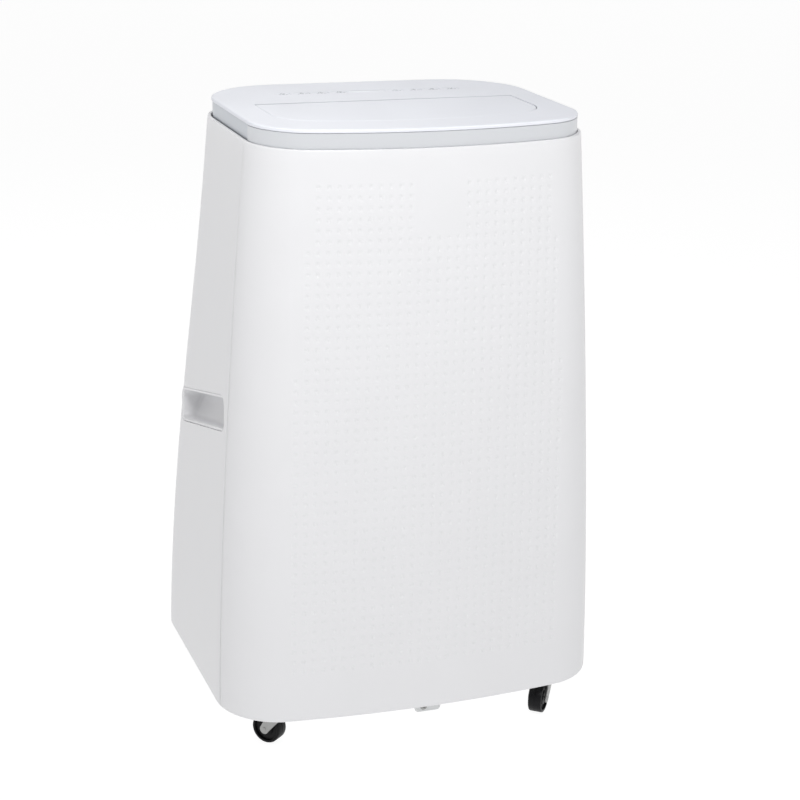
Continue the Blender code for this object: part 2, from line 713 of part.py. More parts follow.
DUCT_LOW = UPPER_SCROLL_TOP + GAP
DUCT_TOP = UNDER_PLATE - FIT
DUCT_FRONT = FLAP_FRONT + FLAP_GAP + DUCT_MARGIN
DUCT_BACK = -FLAP_REAR + FLAP_REAR_GAP + DUCT_MARGIN
SCROLL_BACK = UPPER_FAN_FRONT - FAN_WIDTH - 2 * SCROLL_WALL - FAN_CLEARANCE
VANE_LOW = DUCT_LOW + 0.010
VANE_HIGH = VANE_LOW + VANE_HEIGHT


def duct_ring(z, grow):
    """Narrow and square at the scroll, the flap's shape at the top."""
    share = (z - DUCT_LOW) / (DUCT_TOP - DUCT_LOW)
    outline = plan(between(UPPER_OUTLET_HALF, duct_half_width(), share) + grow,
                   between(UPPER_FAN_FRONT, DUCT_FRONT, share) + grow,
                   between(-SCROLL_BACK, DUCT_BACK, share) + grow,
                   between(0.010, FLAP_CORNER, share), 0.004,
                   between(0.0, FLAP_BOW, share), 0.0)
    return at_height(outline, z)


def vane_places():
    half = (VANE_COUNT - 1) / 2
    return [VANE_PITCH * (step - half) for step in range(VANE_COUNT)]


def rail(name, z):
    """A bar across the duct that holds the vanes' pins."""
    reach = between(UPPER_OUTLET_HALF, duct_half_width(),
                    (z - DUCT_LOW) / (DUCT_TOP - DUCT_LOW)) + DUCT_WALL / 2
    return block(name, None,
                 (-reach, -VANE_AXIS - RAIL_DEPTH / 2, z),
                 (reach, -VANE_AXIS + RAIL_DEPTH / 2, z + RAIL_THICKNESS))


def make_duct():
    heights = [DUCT_LOW, between(DUCT_LOW, DUCT_TOP, 0.6), DUCT_TOP]
    rings = [duct_ring(z, DUCT_WALL) for z in heights]
    rings += [duct_ring(z, 0.0) for z in reversed(heights)]
    duct = loft("outlet_duct", "inner_plastic", rings, closed=True)
    low_rail = VANE_LOW - 0.0006 - RAIL_THICKNESS
    high_rail = VANE_HIGH + LINK_THICKNESS + 0.0012
    join(duct, rail("low_rail", low_rail), rail("high_rail", high_rail))
    for number, x in enumerate(vane_places(), 1):
        for word, z in (("low", low_rail), ("high", high_rail)):
            cut(duct, rod(f"{word}_rail_hole_{number}", None, PIN_RADIUS + PIN_PLAY,
                          (x, -VANE_AXIS, z - 0.003), (x, -VANE_AXIS, z + RAIL_THICKNESS + 0.003),
                          8))
    for side, word in ((-1, "left"), (1, "right")):
        near, far = side * EAR_X, side * (duct_half_width() + DUCT_WALL + 0.004)
        cut(duct, rod(f"{word}_hinge_seat", None, PIN_RADIUS + PIN_PLAY,
                      (near, HINGE_Y, HINGE_Z), (far, HINGE_Y, HINGE_Z), 12))
        cut(duct, block(f"{word}_hinge_slot", None,
                        (min(near, far), HINGE_Y - PIN_RADIUS - PIN_PLAY, HINGE_Z),
                        (max(near, far), HINGE_Y + PIN_RADIUS + PIN_PLAY, HEIGHT)))
    return low_rail, high_rail


def make_vanes(low_rail, high_rail):
    """Upright vanes that swing together, joined by a link bar with slots."""
    for number, x in enumerate(vane_places(), 1):
        axis = Vector((x, -VANE_AXIS, VANE_LOW))
        vane = block(f"vane_{number}", "inner_plastic",
                     (x - VANE_THICKNESS / 2, -VANE_AXIS - VANE_CHORD / 2 + 0.002, VANE_LOW),
                     (x + VANE_THICKNESS / 2, -VANE_AXIS + VANE_CHORD / 2 + 0.002, VANE_HIGH),
                     origin=axis)
        join(vane,
             rod(f"vane_pin_{number}", None, PIN_RADIUS,
                 (x, -VANE_AXIS, low_rail + 0.0005),
                 (x, -VANE_AXIS, high_rail + RAIL_THICKNESS - 0.0005), 8),
             rod(f"vane_crank_{number}", None, PIN_RADIUS - 0.0003,
                 (x, -VANE_AXIS + VANE_CRANK, VANE_HIGH - 0.004),
                 (x, -VANE_AXIS + VANE_CRANK, VANE_HIGH + 0.0006 + LINK_THICKNESS + 0.0012), 8))
    middle = Vector((0, -VANE_AXIS + VANE_CRANK - 0.0012, VANE_HIGH + 0.0006))
    reach = VANE_PITCH * (VANE_COUNT - 1) / 2 + 0.006
    link = block("vane_link", "inner_plastic",
                 (-reach, middle.y - LINK_WIDTH / 2, middle.z),
                 (reach, middle.y + LINK_WIDTH / 2, middle.z + LINK_THICKNESS))
    slots = [Matrix.Translation((x, middle.y, middle.z + LINK_THICKNESS / 2))
             for x in vane_places()]
    cut(link, boxes("link_slots", (0.0036, 0.0058, 0.01), slots))


# ---- base pan and casters ---------------------------------------------------


def lower_plug_spot():
    return rear_spot(LOWER_PLUG_X, (PAN_BOTTOM + PAN_FLOOR + PAN_TOP) / 2)


def caster_places():
    return (("front_left", -CASTER_X, -CASTER_FRONT, FRONT_LEFT_SWIVEL),
            ("front_right", CASTER_X, -CASTER_FRONT, FRONT_RIGHT_SWIVEL),
            ("back_left", -CASTER_X, CASTER_BACK, BACK_LEFT_SWIVEL),
            ("back_right", CASTER_X, CASTER_BACK, BACK_RIGHT_SWIVEL))


def make_base():
    inset = WALL + FIT
    rings = [at_height(section(BODY_BOTTOM, inset + 0.002), PAN_BOTTOM),
             wall_ring(PAN_BOTTOM + 0.002, inset), wall_ring(PAN_TOP, inset),
             wall_ring(PAN_TOP, inset + WALL),
             at_height(section(BODY_BOTTOM, inset + WALL + 0.003), PAN_BOTTOM + PAN_FLOOR)]
    pan = loft("base_pan", "inner_plastic", rings)
    join(pan, block("front_tab", None, (-TAB_WIDTH / 2, -TAB_FRONT, TAB_BOTTOM),
                    (TAB_WIDTH / 2, -TAB_FRONT + TAB_THICKNESS, PAN_BOTTOM + 0.002)))
    for side, word in ((-1, "left"), (1, "right")):
        join(pan, block(f"under_rib_{word}", None,
                        (side * RIB_X - RIB_WIDTH / 2, -TAB_FRONT, RIB_BOTTOM),
                        (side * RIB_X + RIB_WIDTH / 2, -TAB_FRONT + 0.004, PAN_BOTTOM + 0.002)))
    screw_z = (TAB_BOTTOM + PAN_BOTTOM) / 2
    cut(pan, rod("tab_hole", None, 0.0018, (0, -TAB_FRONT - 0.01, screw_z),
                 (0, -TAB_FRONT + 0.01, screw_z)))
    for name, x, y, _ in caster_places():
        cut(pan, rod(f"{name}_stem_hole", None, STEM_RADIUS + STEM_PLAY,
                     (x, y, PAN_BOTTOM - 0.01), (x, y, PAN_BOTTOM + 0.02)))
    cut(pan, rear_hole("lower_plug_hole_pan", lower_plug_spot(), PLUG_RADIUS + GAP,
                       PLUG_ROUND))

    screw = rod("tab_screw", "steel", SCREW_HEAD, (0, -TAB_FRONT - GAP - 0.0018, screw_z),
                (0, -TAB_FRONT - GAP, screw_z))
    join(screw, rod("tab_screw_shank", None, 0.0018 - GAP, (0, -TAB_FRONT - 0.001, screw_z),
                    (0, -TAB_FRONT + TAB_THICKNESS + 0.003, screw_z)))
    cut(screw, block("screw_slot", None,
                     (-0.0004, -TAB_FRONT - 0.004, screw_z - 0.003),
                     (0.0004, -TAB_FRONT - GAP - 0.0010, screw_z + 0.003)))


def make_casters():
    """Forks turn about upright stems; each wheel turns on its own axle."""
    leg = WHEEL_WIDTH / 2 + FORK_GAP
    for name, x, y, swivel in caster_places():
        stem = Vector((x, y, CROWN_HIGH))
        turn = Matrix.Rotation(math.radians(swivel), 4, "Z")
        axle = Vector((CASTER_TRAIL, 0, WHEEL_RADIUS - CROWN_HIGH))
        place = Matrix.Translation(stem) @ turn
        shape = bmesh.new()
        bmesh.ops.create_cone(shape, cap_ends=True, segments=18, radius1=0.0145,
                              radius2=0.0135, depth=CROWN_THICKNESS,
                              matrix=Matrix.Translation((0, 0, -CROWN_THICKNESS / 2)))
        fork = add(f"{name}_fork", "caster_fork", shape, stem, turn)
        for side in (-1, 1):
            ring = [Vector((-0.0105, 0, -CROWN_THICKNESS / 2)),
                    Vector((axle.x - 0.0060, 0, axle.z - 0.0040)),
                    Vector((axle.x, 0, axle.z - 0.0068)),
                    Vector((axle.x + 0.0060, 0, axle.z - 0.0040)),
                    Vector((axle.x + 0.0065, 0, axle.z + 0.0060)),
                    Vector((0.0105, 0, -CROWN_THICKNESS / 2))]
            near = side * leg if side > 0 else side * leg - FORK_WALL
            plate = [[point + Vector((0, near + FORK_WALL, 0)) for point in ring],
                     [point + Vector((0, near, 0)) for point in ring]]
            join(fork, loft(f"{name}_leg_{side}", None, plate, origin=stem, turn=turn))
        join(fork, rod(f"{name}_stem", None, STEM_RADIUS, stem - Vector((0, 0, 0.001)),
                       (x, y, PAN_BOTTOM + STEM_LENGTH)))
        bore_low = place @ (axle + Vector((0, -0.03, 0)))
        bore_high = place @ (axle + Vector((0, 0.03, 0)))
        cut(fork, rod(f"{name}_axle_bore", None, AXLE_RADIUS + AXLE_PLAY, bore_low, bore_high, 12))
        half = leg + FORK_WALL + 0.0006
        rod(f"{name}_axle", "steel", AXLE_RADIUS, place @ (axle + Vector((0, -half, 0))),
            place @ (axle + Vector((0, half, 0))), 12)
        rim, hub = WHEEL_RADIUS, 0.0085
        bore = AXLE_RADIUS + AXLE_PLAY
        edge = WHEEL_WIDTH / 2
        profile = [(bore, edge - 0.0008), (hub, edge - 0.0008), (hub + 0.0012, edge - 0.0030),
                   (rim - 0.0040, edge - 0.0030), (rim - 0.0030, edge),
                   (rim, edge - 0.0015), (rim, -edge + 0.0015),
                   (rim - 0.0030, -edge), (rim - 0.0040, -edge + 0.0030),
                   (hub + 0.0012, -edge + 0.0030), (hub, -edge + 0.0008),
                   (bore, -edge + 0.0008)]
        across = (place.to_3x3() @ Vector((0, 1, 0))).normalized()
        turned(f"{name}_wheel", "caster_tread", profile, place @ axle, across, 20)


# ---- rear pieces ------------------------------------------------------------


def make_grille(word, z, height):
    """A pull-off intake panel with louvre slots, and the filter behind it."""
    spot = rear_spot(0, z, GRILLE_RECESS)
    origin, turn = split(spot)
    grille = block(f"{word}_intake_grille", "white_shell",
                   (-GRILLE_WIDTH / 2, -GRILLE_THICKNESS, -height / 2),
                   (GRILLE_WIDTH / 2, 0, height / 2), origin=(0, 0, 0),
                   turn=Matrix.Translation(origin) @ turn)
    rows = int((height - 2 * GRILLE_BORDER) / SLOT_PITCH)
    wide = (GRILLE_WIDTH - 2 * GRILLE_BORDER - (SLOT_COLUMNS - 1) * SLOT_RIB) / SLOT_COLUMNS
    slots = []
    for row in range(rows):
        for column in range(SLOT_COLUMNS):
            across = (column - (SLOT_COLUMNS - 1) / 2) * (wide + SLOT_RIB)
            upward = (row - (rows - 1) / 2) * SLOT_PITCH
            slots.append(spot @ Matrix.Translation((across, -GRILLE_THICKNESS / 2, upward)))
    cut(grille, boxes(f"{word}_slots", (wide, 0.02, SLOT_HEIGHT), slots))
    behind = -GRILLE_THICKNESS - GAP
    round_edges(block(f"{word}_filter", "filter_mesh",
                      (-GRILLE_WIDTH / 2 + 0.004, behind - FILTER_THICKNESS, -height / 2 + 0.004),
                      (GRILLE_WIDTH / 2 - 0.004, behind, height / 2 - 0.004),
                      origin=(0, 0, 0), turn=Matrix.Translation(origin) @ turn), 0.0008)


def bung(name, slot, spot, radius, head, length, bore=0.0):
    """A round plug or gland: a flange outside the wall and a body through it."""
    outside = GAP + 0.0002
    profile = [(head - 0.0008, outside + 0.0030), (head, outside + 0.0020), (head, outside),
               (radius, outside), (radius, -length), (bore, -length)]
    if bore:
        profile = [(bore, outside + 0.0030)] + profile
    else:
        profile = [(0.0, outside + 0.0030)] + profile
    origin, turn = split(spot)
    outward = turn.to_3x3() @ Vector((0, 1, 0))
    return turned(name, slot, profile, origin, outward, PLUG_ROUND, ring=bool(bore))


def make_rear_pieces():
    make_grille("upper", UPPER_GRILLE_Z, UPPER_GRILLE_HEIGHT)
    make_grille("lower", LOWER_GRILLE_Z, LOWER_GRILLE_HEIGHT)
    outer = COLLAR_RADIUS + COLLAR_WALL
    inner_end = -LOWER_FAN_FRONT + FAN_WIDTH + 2 * SCROLL_WALL + FAN_CLEARANCE + GAP
    outer_end = back_at(COLLAR_Z) + COLLAR_STANDS_OUT
    profile = [(outer - 0.0010, outer_end), (outer, outer_end - 0.0010), (outer, inner_end),
               (COLLAR_RADIUS, inner_end), (COLLAR_RADIUS, outer_end)]
    turned("exhaust_collar", "white_shell", profile, (0, 0, COLLAR_Z), (0, 1, 0))
    bung("lower_drain_plug", "drain_rubber", lower_plug_spot(), PLUG_RADIUS, PLUG_HEAD,
         PLUG_LENGTH)
    bung("upper_drain_plug", "drain_rubber", rear_spot(UPPER_PLUG_X, UPPER_PLUG_Z), PLUG_RADIUS,
         PLUG_HEAD, PLUG_LENGTH)
    bung("cord_gland", "black_plastic", rear_spot(GLAND_X, GLAND_Z), GLAND_RADIUS, GLAND_HEAD,
         PLUG_LENGTH, CORD_BORE)


# ---- works inside -----------------------------------------------------------


def volute(radius, top, left, right, inset=0.0):
    """A fan casing's outline in X and Z: a growing spiral with a flared outlet."""
    start = radius + FAN_CLEARANCE - inset
    tongue, end, growth = 100.0, 372.0, 0.030
    points = []
    for step in range(21):
        share = step / 20
        turn = math.radians(between(tongue, end, share))
        reach = start + growth * share
        points.append(Vector((reach * math.cos(turn), reach * math.sin(turn))))
    return points + [Vector((right - inset, top)), Vector((left + inset, top))]


def scroll(name, centre, front, top, left, right, open_top):
    """A hollow casing with an inlet at its back and an outlet."""
    depth = FAN_WIDTH + FAN_CLEARANCE + 2 * SCROLL_WALL

    def slab(label, slot, inset, near, far, roof):
        outline = volute(FAN_RADIUS + SCROLL_WALL, roof, left, right, inset)
        ends = [[Vector((point.x, y, point.y)) for point in outline] for y in (far, near)]
        return loft(label, slot, ends, origin=(centre.x, -front, centre.y))

    roof = top - centre.y
    casing = slab(name, "inner_plastic", 0.0, 0.0, depth, roof)
    cavity_roof = roof + 0.01 if open_top else roof - SCROLL_WALL
    cut(casing, slab(f"{name}_cavity", None, SCROLL_WALL, SCROLL_WALL, depth - SCROLL_WALL,
                     cavity_roof))
    cut(casing, rod(f"{name}_inlet", None, FAN_BORE, (centre.x, -front + depth - 0.01, centre.y),
                    (centre.x, -front + depth + 0.01, centre.y), ROUND))
    cut(casing, rod(f"{name}_shaft_hole", None, SHAFT_RADIUS + 0.004,
                    (centre.x, -front - 0.01, centre.y), (centre.x, -front + 0.01, centre.y)))
    return casing


def fan(name, centre, front):
    """A squirrel-cage wheel on a shaft that reaches back into its motor."""
    near = -front + SCROLL_WALL + FAN_CLEARANCE / 2
    origin = Vector((centre.x, near, centre.y))
    profile = [(SHAFT_RADIUS * 0.5, FAN_WIDTH * 0.12), (FAN_BORE, 0.003), (FAN_BORE, FAN_WIDTH),
               (FAN_RADIUS, FAN_WIDTH), (FAN_RADIUS, 0.0), (SHAFT_RADIUS * 0.5, 0.0)]
    wheel = turned(name, "black_plastic", profile, origin, (0, 1, 0), 28)
    slots = []
    for step in range(FAN_BLADES):
        turn = Matrix.Rotation(math.tau * step / FAN_BLADES, 4, "Y")
        slots.append(Matrix.Translation((centre.x, near + FAN_WIDTH / 2 + 0.001, centre.y))
                     @ turn @ Matrix.Translation(((FAN_RADIUS + FAN_BORE) / 2, 0, 0)))
    gap = math.tau * FAN_BORE / FAN_BLADES * 0.62
    across = FAN_RADIUS - FAN_BORE + 0.010
    cut(wheel, boxes(f"{name}_slots", (across, FAN_WIDTH - 0.012, gap), slots))
    join(wheel, rod(f"{name}_shaft", None, SHAFT_RADIUS,
                    (centre.x, -front - 0.030, centre.y), (centre.x, near + 0.012, centre.y)))


def motor(name, centre, front):
    back = -front - GAP
    case = rod(name, "coated_steel", MOTOR_RADIUS, (centre.x, back - MOTOR_LENGTH, centre.y),
               (centre.x, back, centre.y), ROUND)
    round_edges(case, 0.003)
    cut(case, rod(f"{name}_bore", None, SHAFT_RADIUS + SHAFT_PLAY,
                  (centre.x, back - 0.034, centre.y), (centre.x, back + 0.01, centre.y)))


def coil(name, front, low, high):
    """A finned coil: a core with upright fins on the side where the air comes in."""
    half, back = COIL_HALF_WIDTH, -front + COIL_THICKNESS
    core = block(name, "fin_aluminium", (-half, -front, low), (half, back, high))
    pitch = 2 * half / COIL_FINS
    depth = COIL_THICKNESS * 0.4
    slots = []
    for step in range(COIL_FINS):
        x = -half + pitch * (step + 0.5)
        slots.append(Matrix.Translation((x, back, (low + high) / 2)))
    cut(core, boxes(f"{name}_fin_gaps", (pitch * FIN_GAP_SHARE, 2 * depth, high - low - 0.012),
                    slots))


def make_compressor():
    low = PAN_BOTTOM + PAN_FLOOR + GAP
    r, h = COMPRESSOR_RADIUS, COMPRESSOR_HEIGHT
    profile = [(0.0, h), (r * 0.55, h * 0.985), (r * 0.88, h * 0.94), (r, h * 0.86),
               (r, h * 0.14), (r * 0.88, h * 0.05), (r * 0.60, h * 0.02), (r * 0.60, 0.0),
               (0.0, 0.0)]
    turned("compressor", "black_paint", profile, (COMPRESSOR_X, COMPRESSOR_Y, low), (0, 0, 1),
           ROUND, ring=False)
    return low + h


def make_tube(start_z):
    """The suction line from the compressor's top up past the deck to the evaporator."""
    x, y = COMPRESSOR_X, COMPRESSOR_Y
    end_x = -COIL_HALF_WIDTH - GAP
    end_z = EVAPORATOR_LOW + 0.030
    coil_y = -EVAPORATOR_FRONT + COIL_THICKNESS / 2
    points = [(x, y, start_z + GAP), (x, y, start_z + 0.030), (x, y + 0.010, start_z + 0.052),
              (x + 0.004, y + 0.050, start_z + 0.070), (x + 0.006, y + 0.085, start_z + 0.095),
              (x + 0.006, y + 0.100, DECK_Z - 0.020), (x + 0.006, y + 0.102, DECK_Z + 0.020),
              (x + 0.006, y + 0.110, end_z - 0.022), (x + 0.010, coil_y, end_z),
              (end_x, coil_y, end_z)]
    data = bpy.data.curves.new("suction_tube", "CURVE")
    data.dimensions = "3D"
    data.bevel_depth = TUBE_RADIUS
    data.bevel_resolution = 2
    data.use_fill_caps = True
    spline = data.splines.new("POLY")
    spline.points.add(len(points) - 1)
    for knot, place in zip(spline.points, points):
        knot.co = (*place, 1)
    data.materials.append(material("copper_tube"))
    tube = bpy.data.objects.new("suction_tube", data)
    body.objects.link(tube)
    return points[6][0], points[6][1]


def make_works():
    upper = Vector((0.0, UPPER_FAN_Z))
    lower = Vector((LOWER_FAN_X, LOWER_FAN_Z))
    scroll("upper_scroll", upper, UPPER_FAN_FRONT, UPPER_SCROLL_TOP,
           -UPPER_OUTLET_HALF - SCROLL_WALL, UPPER_OUTLET_HALF + SCROLL_WALL, True)
    casing = scroll("lower_scroll", lower, LOWER_FAN_FRONT, LOWER_SCROLL_TOP,
                    -COLLAR_RADIUS - 0.006 - LOWER_FAN_X, COLLAR_RADIUS + 0.012, False)
    wall = -LOWER_FAN_FRONT + FAN_WIDTH + 2 * SCROLL_WALL + FAN_CLEARANCE
    cut(casing, rod("collar_mouth", None, COLLAR_RADIUS - 0.030, (0, wall - 0.01, COLLAR_Z),
                    (0, wall + 0.01, COLLAR_Z), ROUND))
    for word, centre, front in (("upper", upper, UPPER_FAN_FRONT),
                                ("lower", lower, LOWER_FAN_FRONT)):
        fan(f"{word}_blower_wheel", centre, front)
        motor(f"{word}_fan_motor", centre, front)
    coil("evaporator_coil", EVAPORATOR_FRONT, EVAPORATOR_LOW, EVAPORATOR_HIGH)
    coil("condenser_coil", CONDENSER_FRONT, CONDENSER_LOW, CONDENSER_HIGH)
    tube_x, tube_y = make_tube(make_compressor())

    deck = block("mid_deck", "coated_steel", (-DECK_HALF_WIDTH, -DECK_FRONT, DECK_Z),
                 (DECK_HALF_WIDTH, DECK_BACK, DECK_Z + DECK_THICKNESS))
    cut(deck, rod("tube_way", None, TUBE_RADIUS + 0.003, (tube_x, tube_y, DECK_Z - 0.01),
                  (tube_x, tube_y, DECK_Z + 0.02)))
    width, depth, height = BOX_SIZE
    low = DECK_Z + DECK_THICKNESS + GAP + 0.060
    round_edges(block("electrics_box", "coated_steel", (BOX_WALL_X, -0.030 - depth, low),
                      (BOX_WALL_X + width, -0.030, low + height)), 0.002)


# ---- build ------------------------------------------------------------------

clear_scene()
body = collection("portable_air_conditioner")
tools = collection("cutters_and_joins")
make_shells()
make_handle_cups()
make_top_cover()
make_bands()
make_keys()
make_flap()
make_vanes(*make_duct())
make_base()
make_casters()
make_rear_pieces()
make_works()
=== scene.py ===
import math

import bpy
import numpy as np
from mathutils import Matrix, Quaternion, Vector


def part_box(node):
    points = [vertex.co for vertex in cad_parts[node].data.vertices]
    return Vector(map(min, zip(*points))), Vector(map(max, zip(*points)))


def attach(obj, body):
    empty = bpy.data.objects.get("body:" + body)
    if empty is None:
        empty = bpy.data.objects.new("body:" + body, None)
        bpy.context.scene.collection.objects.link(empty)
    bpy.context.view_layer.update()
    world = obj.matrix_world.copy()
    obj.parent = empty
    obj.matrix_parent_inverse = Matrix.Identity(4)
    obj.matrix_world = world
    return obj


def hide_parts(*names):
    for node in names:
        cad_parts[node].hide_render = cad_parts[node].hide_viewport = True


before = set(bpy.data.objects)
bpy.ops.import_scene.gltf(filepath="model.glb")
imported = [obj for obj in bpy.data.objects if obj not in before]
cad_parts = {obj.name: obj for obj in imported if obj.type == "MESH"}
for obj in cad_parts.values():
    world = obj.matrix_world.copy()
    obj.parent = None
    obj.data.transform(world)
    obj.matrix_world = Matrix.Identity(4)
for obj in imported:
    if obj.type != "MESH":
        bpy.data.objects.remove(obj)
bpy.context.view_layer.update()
for item in ("Cube", "Light", "Camera"):
    if item in bpy.data.objects:
        bpy.data.objects.remove(bpy.data.objects[item])
bpy.ops.object.select_all(action="DESELECT")

# ---- camera -----------------------------------------------------------------
# The unit is seen from in front, 20 degrees round to its left and 18 degrees
# up, from about two and a half metres away.
EYE_TURN = math.radians(-19.914)
EYE_RISE = math.radians(18.044)
EYE_DISTANCE = 2.442
EYE_TILT = 0.0225                  # the camera isn't quite level
LENS = 87.8
look_at = Vector((0.0250, -0.0090, 0.3736))
away = Vector((math.sin(EYE_TURN) * math.cos(EYE_RISE),
               -math.cos(EYE_TURN) * math.cos(EYE_RISE), math.sin(EYE_RISE)))
aim = (-away).to_track_quat("-Z", "Y") @ Quaternion((0, 0, 1), EYE_TILT)
bpy.ops.object.camera_add(location=look_at + EYE_DISTANCE * away, rotation=aim.to_euler())
camera = bpy.context.object
camera.data.lens = LENS
bpy.context.scene.camera = camera

# ---- floor and light --------------------------------------------------------
# A glowing white sweep under the unit, lit by large soft boxes: one overhead,
# one high in front, a weaker one at each side and behind, and a dim even room.
FLOOR_SIZE = 40.0
SWEEP_RADIUS, SWEEP_HEIGHT = 19.0, 3.2
PAPER_TONE, PAPER_GLOW = 0.12, 0.94
LAMPS_AIM = (0, 0, 0.4)
LAMPS = (((0.1, 0.1, 2.7), 1.8, 12.0),       # place, size, power
         ((-0.35, -1.5, 2.2), 1.0, 32.0),
         ((1.9, -0.4, 2.0), 1.2, 4.0),
         ((-1.3, 0.0, 2.1), 1.0, 5.0),
         ((0.2, 2.0, 2.2), 1.4, 11.0))
ROOM_GLOW = 0.12
bpy.ops.mesh.primitive_plane_add(size=FLOOR_SIZE)
floor = bpy.context.object
floor.name = "studio_floor"
paper = bpy.data.materials.new("studio_paper")
paper.use_nodes = True
sheet = paper.node_tree.nodes["Principled BSDF"].inputs
sheet["Base Color"].default_value = (PAPER_TONE, PAPER_TONE, PAPER_TONE, 1)
sheet["Roughness"].default_value = 0.9
sheet["Emission Color"].default_value = (1, 1, 1, 1)
sheet["Emission Strength"].default_value = PAPER_GLOW
floor.data.materials.append(paper)
bpy.ops.mesh.primitive_cylinder_add(vertices=96, radius=SWEEP_RADIUS, depth=SWEEP_HEIGHT,
                                    location=(0, 0, SWEEP_HEIGHT / 2), end_fill_type="NOTHING")
sweep = bpy.context.object
sweep.name = "studio_sweep"
sweep.data.materials.append(paper)

for place, size, power in LAMPS:
    bpy.ops.object.light_add(type="AREA", location=place)
    lamp = bpy.context.object
    beam = Vector(LAMPS_AIM) - Vector(place)
    lamp.rotation_euler = beam.to_track_quat("-Z", "Y").to_euler()
    lamp.data.size = size
    lamp.data.energy = power

room = bpy.data.worlds.new("white_room")
room.use_nodes = True
air = room.node_tree.nodes["Background"].inputs
air["Color"].default_value = (0.98, 0.985, 1.0, 1)
air["Strength"].default_value = ROOM_GLOW
bpy.context.scene.world = room
bpy.context.scene.view_settings.view_transform = "Standard"

# ---- front cover ------------------------------------------------------------
# The large front shell, injection moulded in white ABS with a field of small
# round dimples, up to 29 columns by 48 rows, and a smooth patch at its top.
# It clips to the rear housing along the seams down both sides.
shell_low, shell_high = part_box("front_cover")
rear_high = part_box("rear_housing")[1]
BOTTOM = shell_low.z
SHOULDER = shell_high.z
HALF_WIDTH_LOW = rear_high.x
HALF_WIDTH_HIGH = 0.2028
FRONT_LOW = -shell_low.y
FRONT_HIGH = 0.1965
BACK_LOW = rear_high.y
BACK_HIGH = 0.142
FRONT_CORNER = (0.066, 0.058)      # low, high
BACK_CORNER = (0.075, 0.098)
FRONT_BOW = (0.021, 0.032)
BACK_BOW = 0.0015
SIDE_CURVE = 1.45                  # how late the sides and the back draw in
BACK_REACH, BACK_CURVE = 1.1, 1.25
FRONT_STEPS, CORNER_STEPS, BACK_STEPS = 80, 60, 40
AHEAD = FRONT_STEPS + CORNER_STEPS  # points of the wall line up to the side
WALL = 0.0028
SEAM = (-0.124, -0.105)
SEAM_GAP = 0.0009                  # the fine dark line between the shells
SEAM_EDGE, SEAM_EASE = 0.0012, 0.0006
MIDDLE_Z = 0.4
DIMPLE_ACROSS = 0.01166            # pitch of the columns at the middle height
DIMPLE_UP = 0.01229
DIMPLE_FAN = 0.0457                # columns spread a little towards the floor
DIMPLE_TOP = 0.6868
DIMPLE_ROWS = 48
DIMPLE_SIDE = 14                   # columns each side of the middle one
DIMPLE_CROWN = ((5.5, 12), (17.5, 13))   # fewer columns above these rows
DIMPLE_MARGIN, DIMPLE_CUT = 0.0033, 0.0016
DIMPLE_SINK = ((0.0007, -0.00034), (0.0008, -0.00028))   # step in, step down
PATCH_COLUMNS, PATCH_ROWS = 2.5, 4.5     # the smooth patch, from its middle
SIDE_STEPS = 18


def between(pair, share):
    return pair[0] + (pair[1] - pair[0]) * share


def rise(z):
    return min(max((z - BOTTOM) / (SHOULDER - BOTTOM), 0.0), 1.0)


def seam_at(z):
    return SEAM[0] + (SEAM[1] - SEAM[0]) * (z - BOTTOM) / (SHOULDER - BOTTOM)


def half_width_at(z):
    return between((HALF_WIDTH_LOW, HALF_WIDTH_HIGH), rise(z) ** SIDE_CURVE)


def back_at(z):
    share = min(BACK_REACH * rise(z), 1.0) ** BACK_CURVE
    return between((BACK_LOW, BACK_HIGH), share * share * (3 - 2 * share))


def fan(z):
    """How much wider than at the middle height the dimple columns stand."""
    return 1 + DIMPLE_FAN * (MIDDLE_Z - z)


def wall_line(z, inset):
    """The wall seen from above, from the front's middle round to the back's middle."""
    share = rise(z)
    half, back = half_width_at(z) - inset, back_at(z) - inset
    front = between((FRONT_LOW, FRONT_HIGH), share) - inset
    near, far = between(FRONT_CORNER, share) - inset, between(BACK_CORNER, share) - inset
    turn = np.linspace(0.0, math.pi / 2, CORNER_STEPS)
    x = np.concatenate([np.linspace(0.0, half - near, FRONT_STEPS, endpoint=False),
                        half - near + near * np.sin(turn)])
    y = np.concatenate([np.full(FRONT_STEPS, -front), -front + near * (1 - np.cos(turn))])
    y += between(FRONT_BOW, share) * (x / half) ** 2
    x_rear = np.concatenate([half - far + far * np.cos(turn),
                             np.linspace(half - far, 0.0, BACK_STEPS)[1:]])
    y_rear = np.concatenate([back - far + far * np.sin(turn), np.full(BACK_STEPS - 1, back)])
    y_rear -= BACK_BOW * (x_rear / half) ** 2
    return np.concatenate([x, x_rear]), np.concatenate([y, y_rear])


def run_of(x, y):
    """Length along a line at each of its points."""
    return np.concatenate([[0.0], np.cumsum(np.hypot(np.diff(x), np.diff(y)))])


def seam_run(x, y, z, past=0.0):
    """How far along the wall line the seam between the shells lies."""
    ahead = y < 0
    return np.interp(seam_at(z) + past, y[ahead], run_of(x, y)[ahead])


def points_at(x, y, distances):
    run = run_of(x, y)
    return [(np.interp(value, run, x), np.interp(value, run, y)) for value in distances]


def mirror(points):
    """The same points on the other side, in the opposite order."""
    return [(-a, b) for a, b in reversed(points)]


def pick(piece):
    """Make this the one piece selected."""
    bpy.ops.object.select_all(action="DESELECT")
    piece.select_set(True)
    bpy.context.view_layer.objects.active = piece


def shaped_grid(name, across, along, place):
    """A grid primitive whose points are moved to place(column, row)."""
    bpy.ops.object.select_all(action="DESELECT")
    bpy.ops.mesh.primitive_grid_add(x_subdivisions=across, y_subdivisions=along, size=1.0)
    piece = bpy.context.object
    piece.name = piece.data.name = name
    for point in piece.data.vertices:
        column = round((point.co.x + 0.5) * across)
        row = round((point.co.y + 0.5) * along)
        point.co = place(column, row)
    return piece


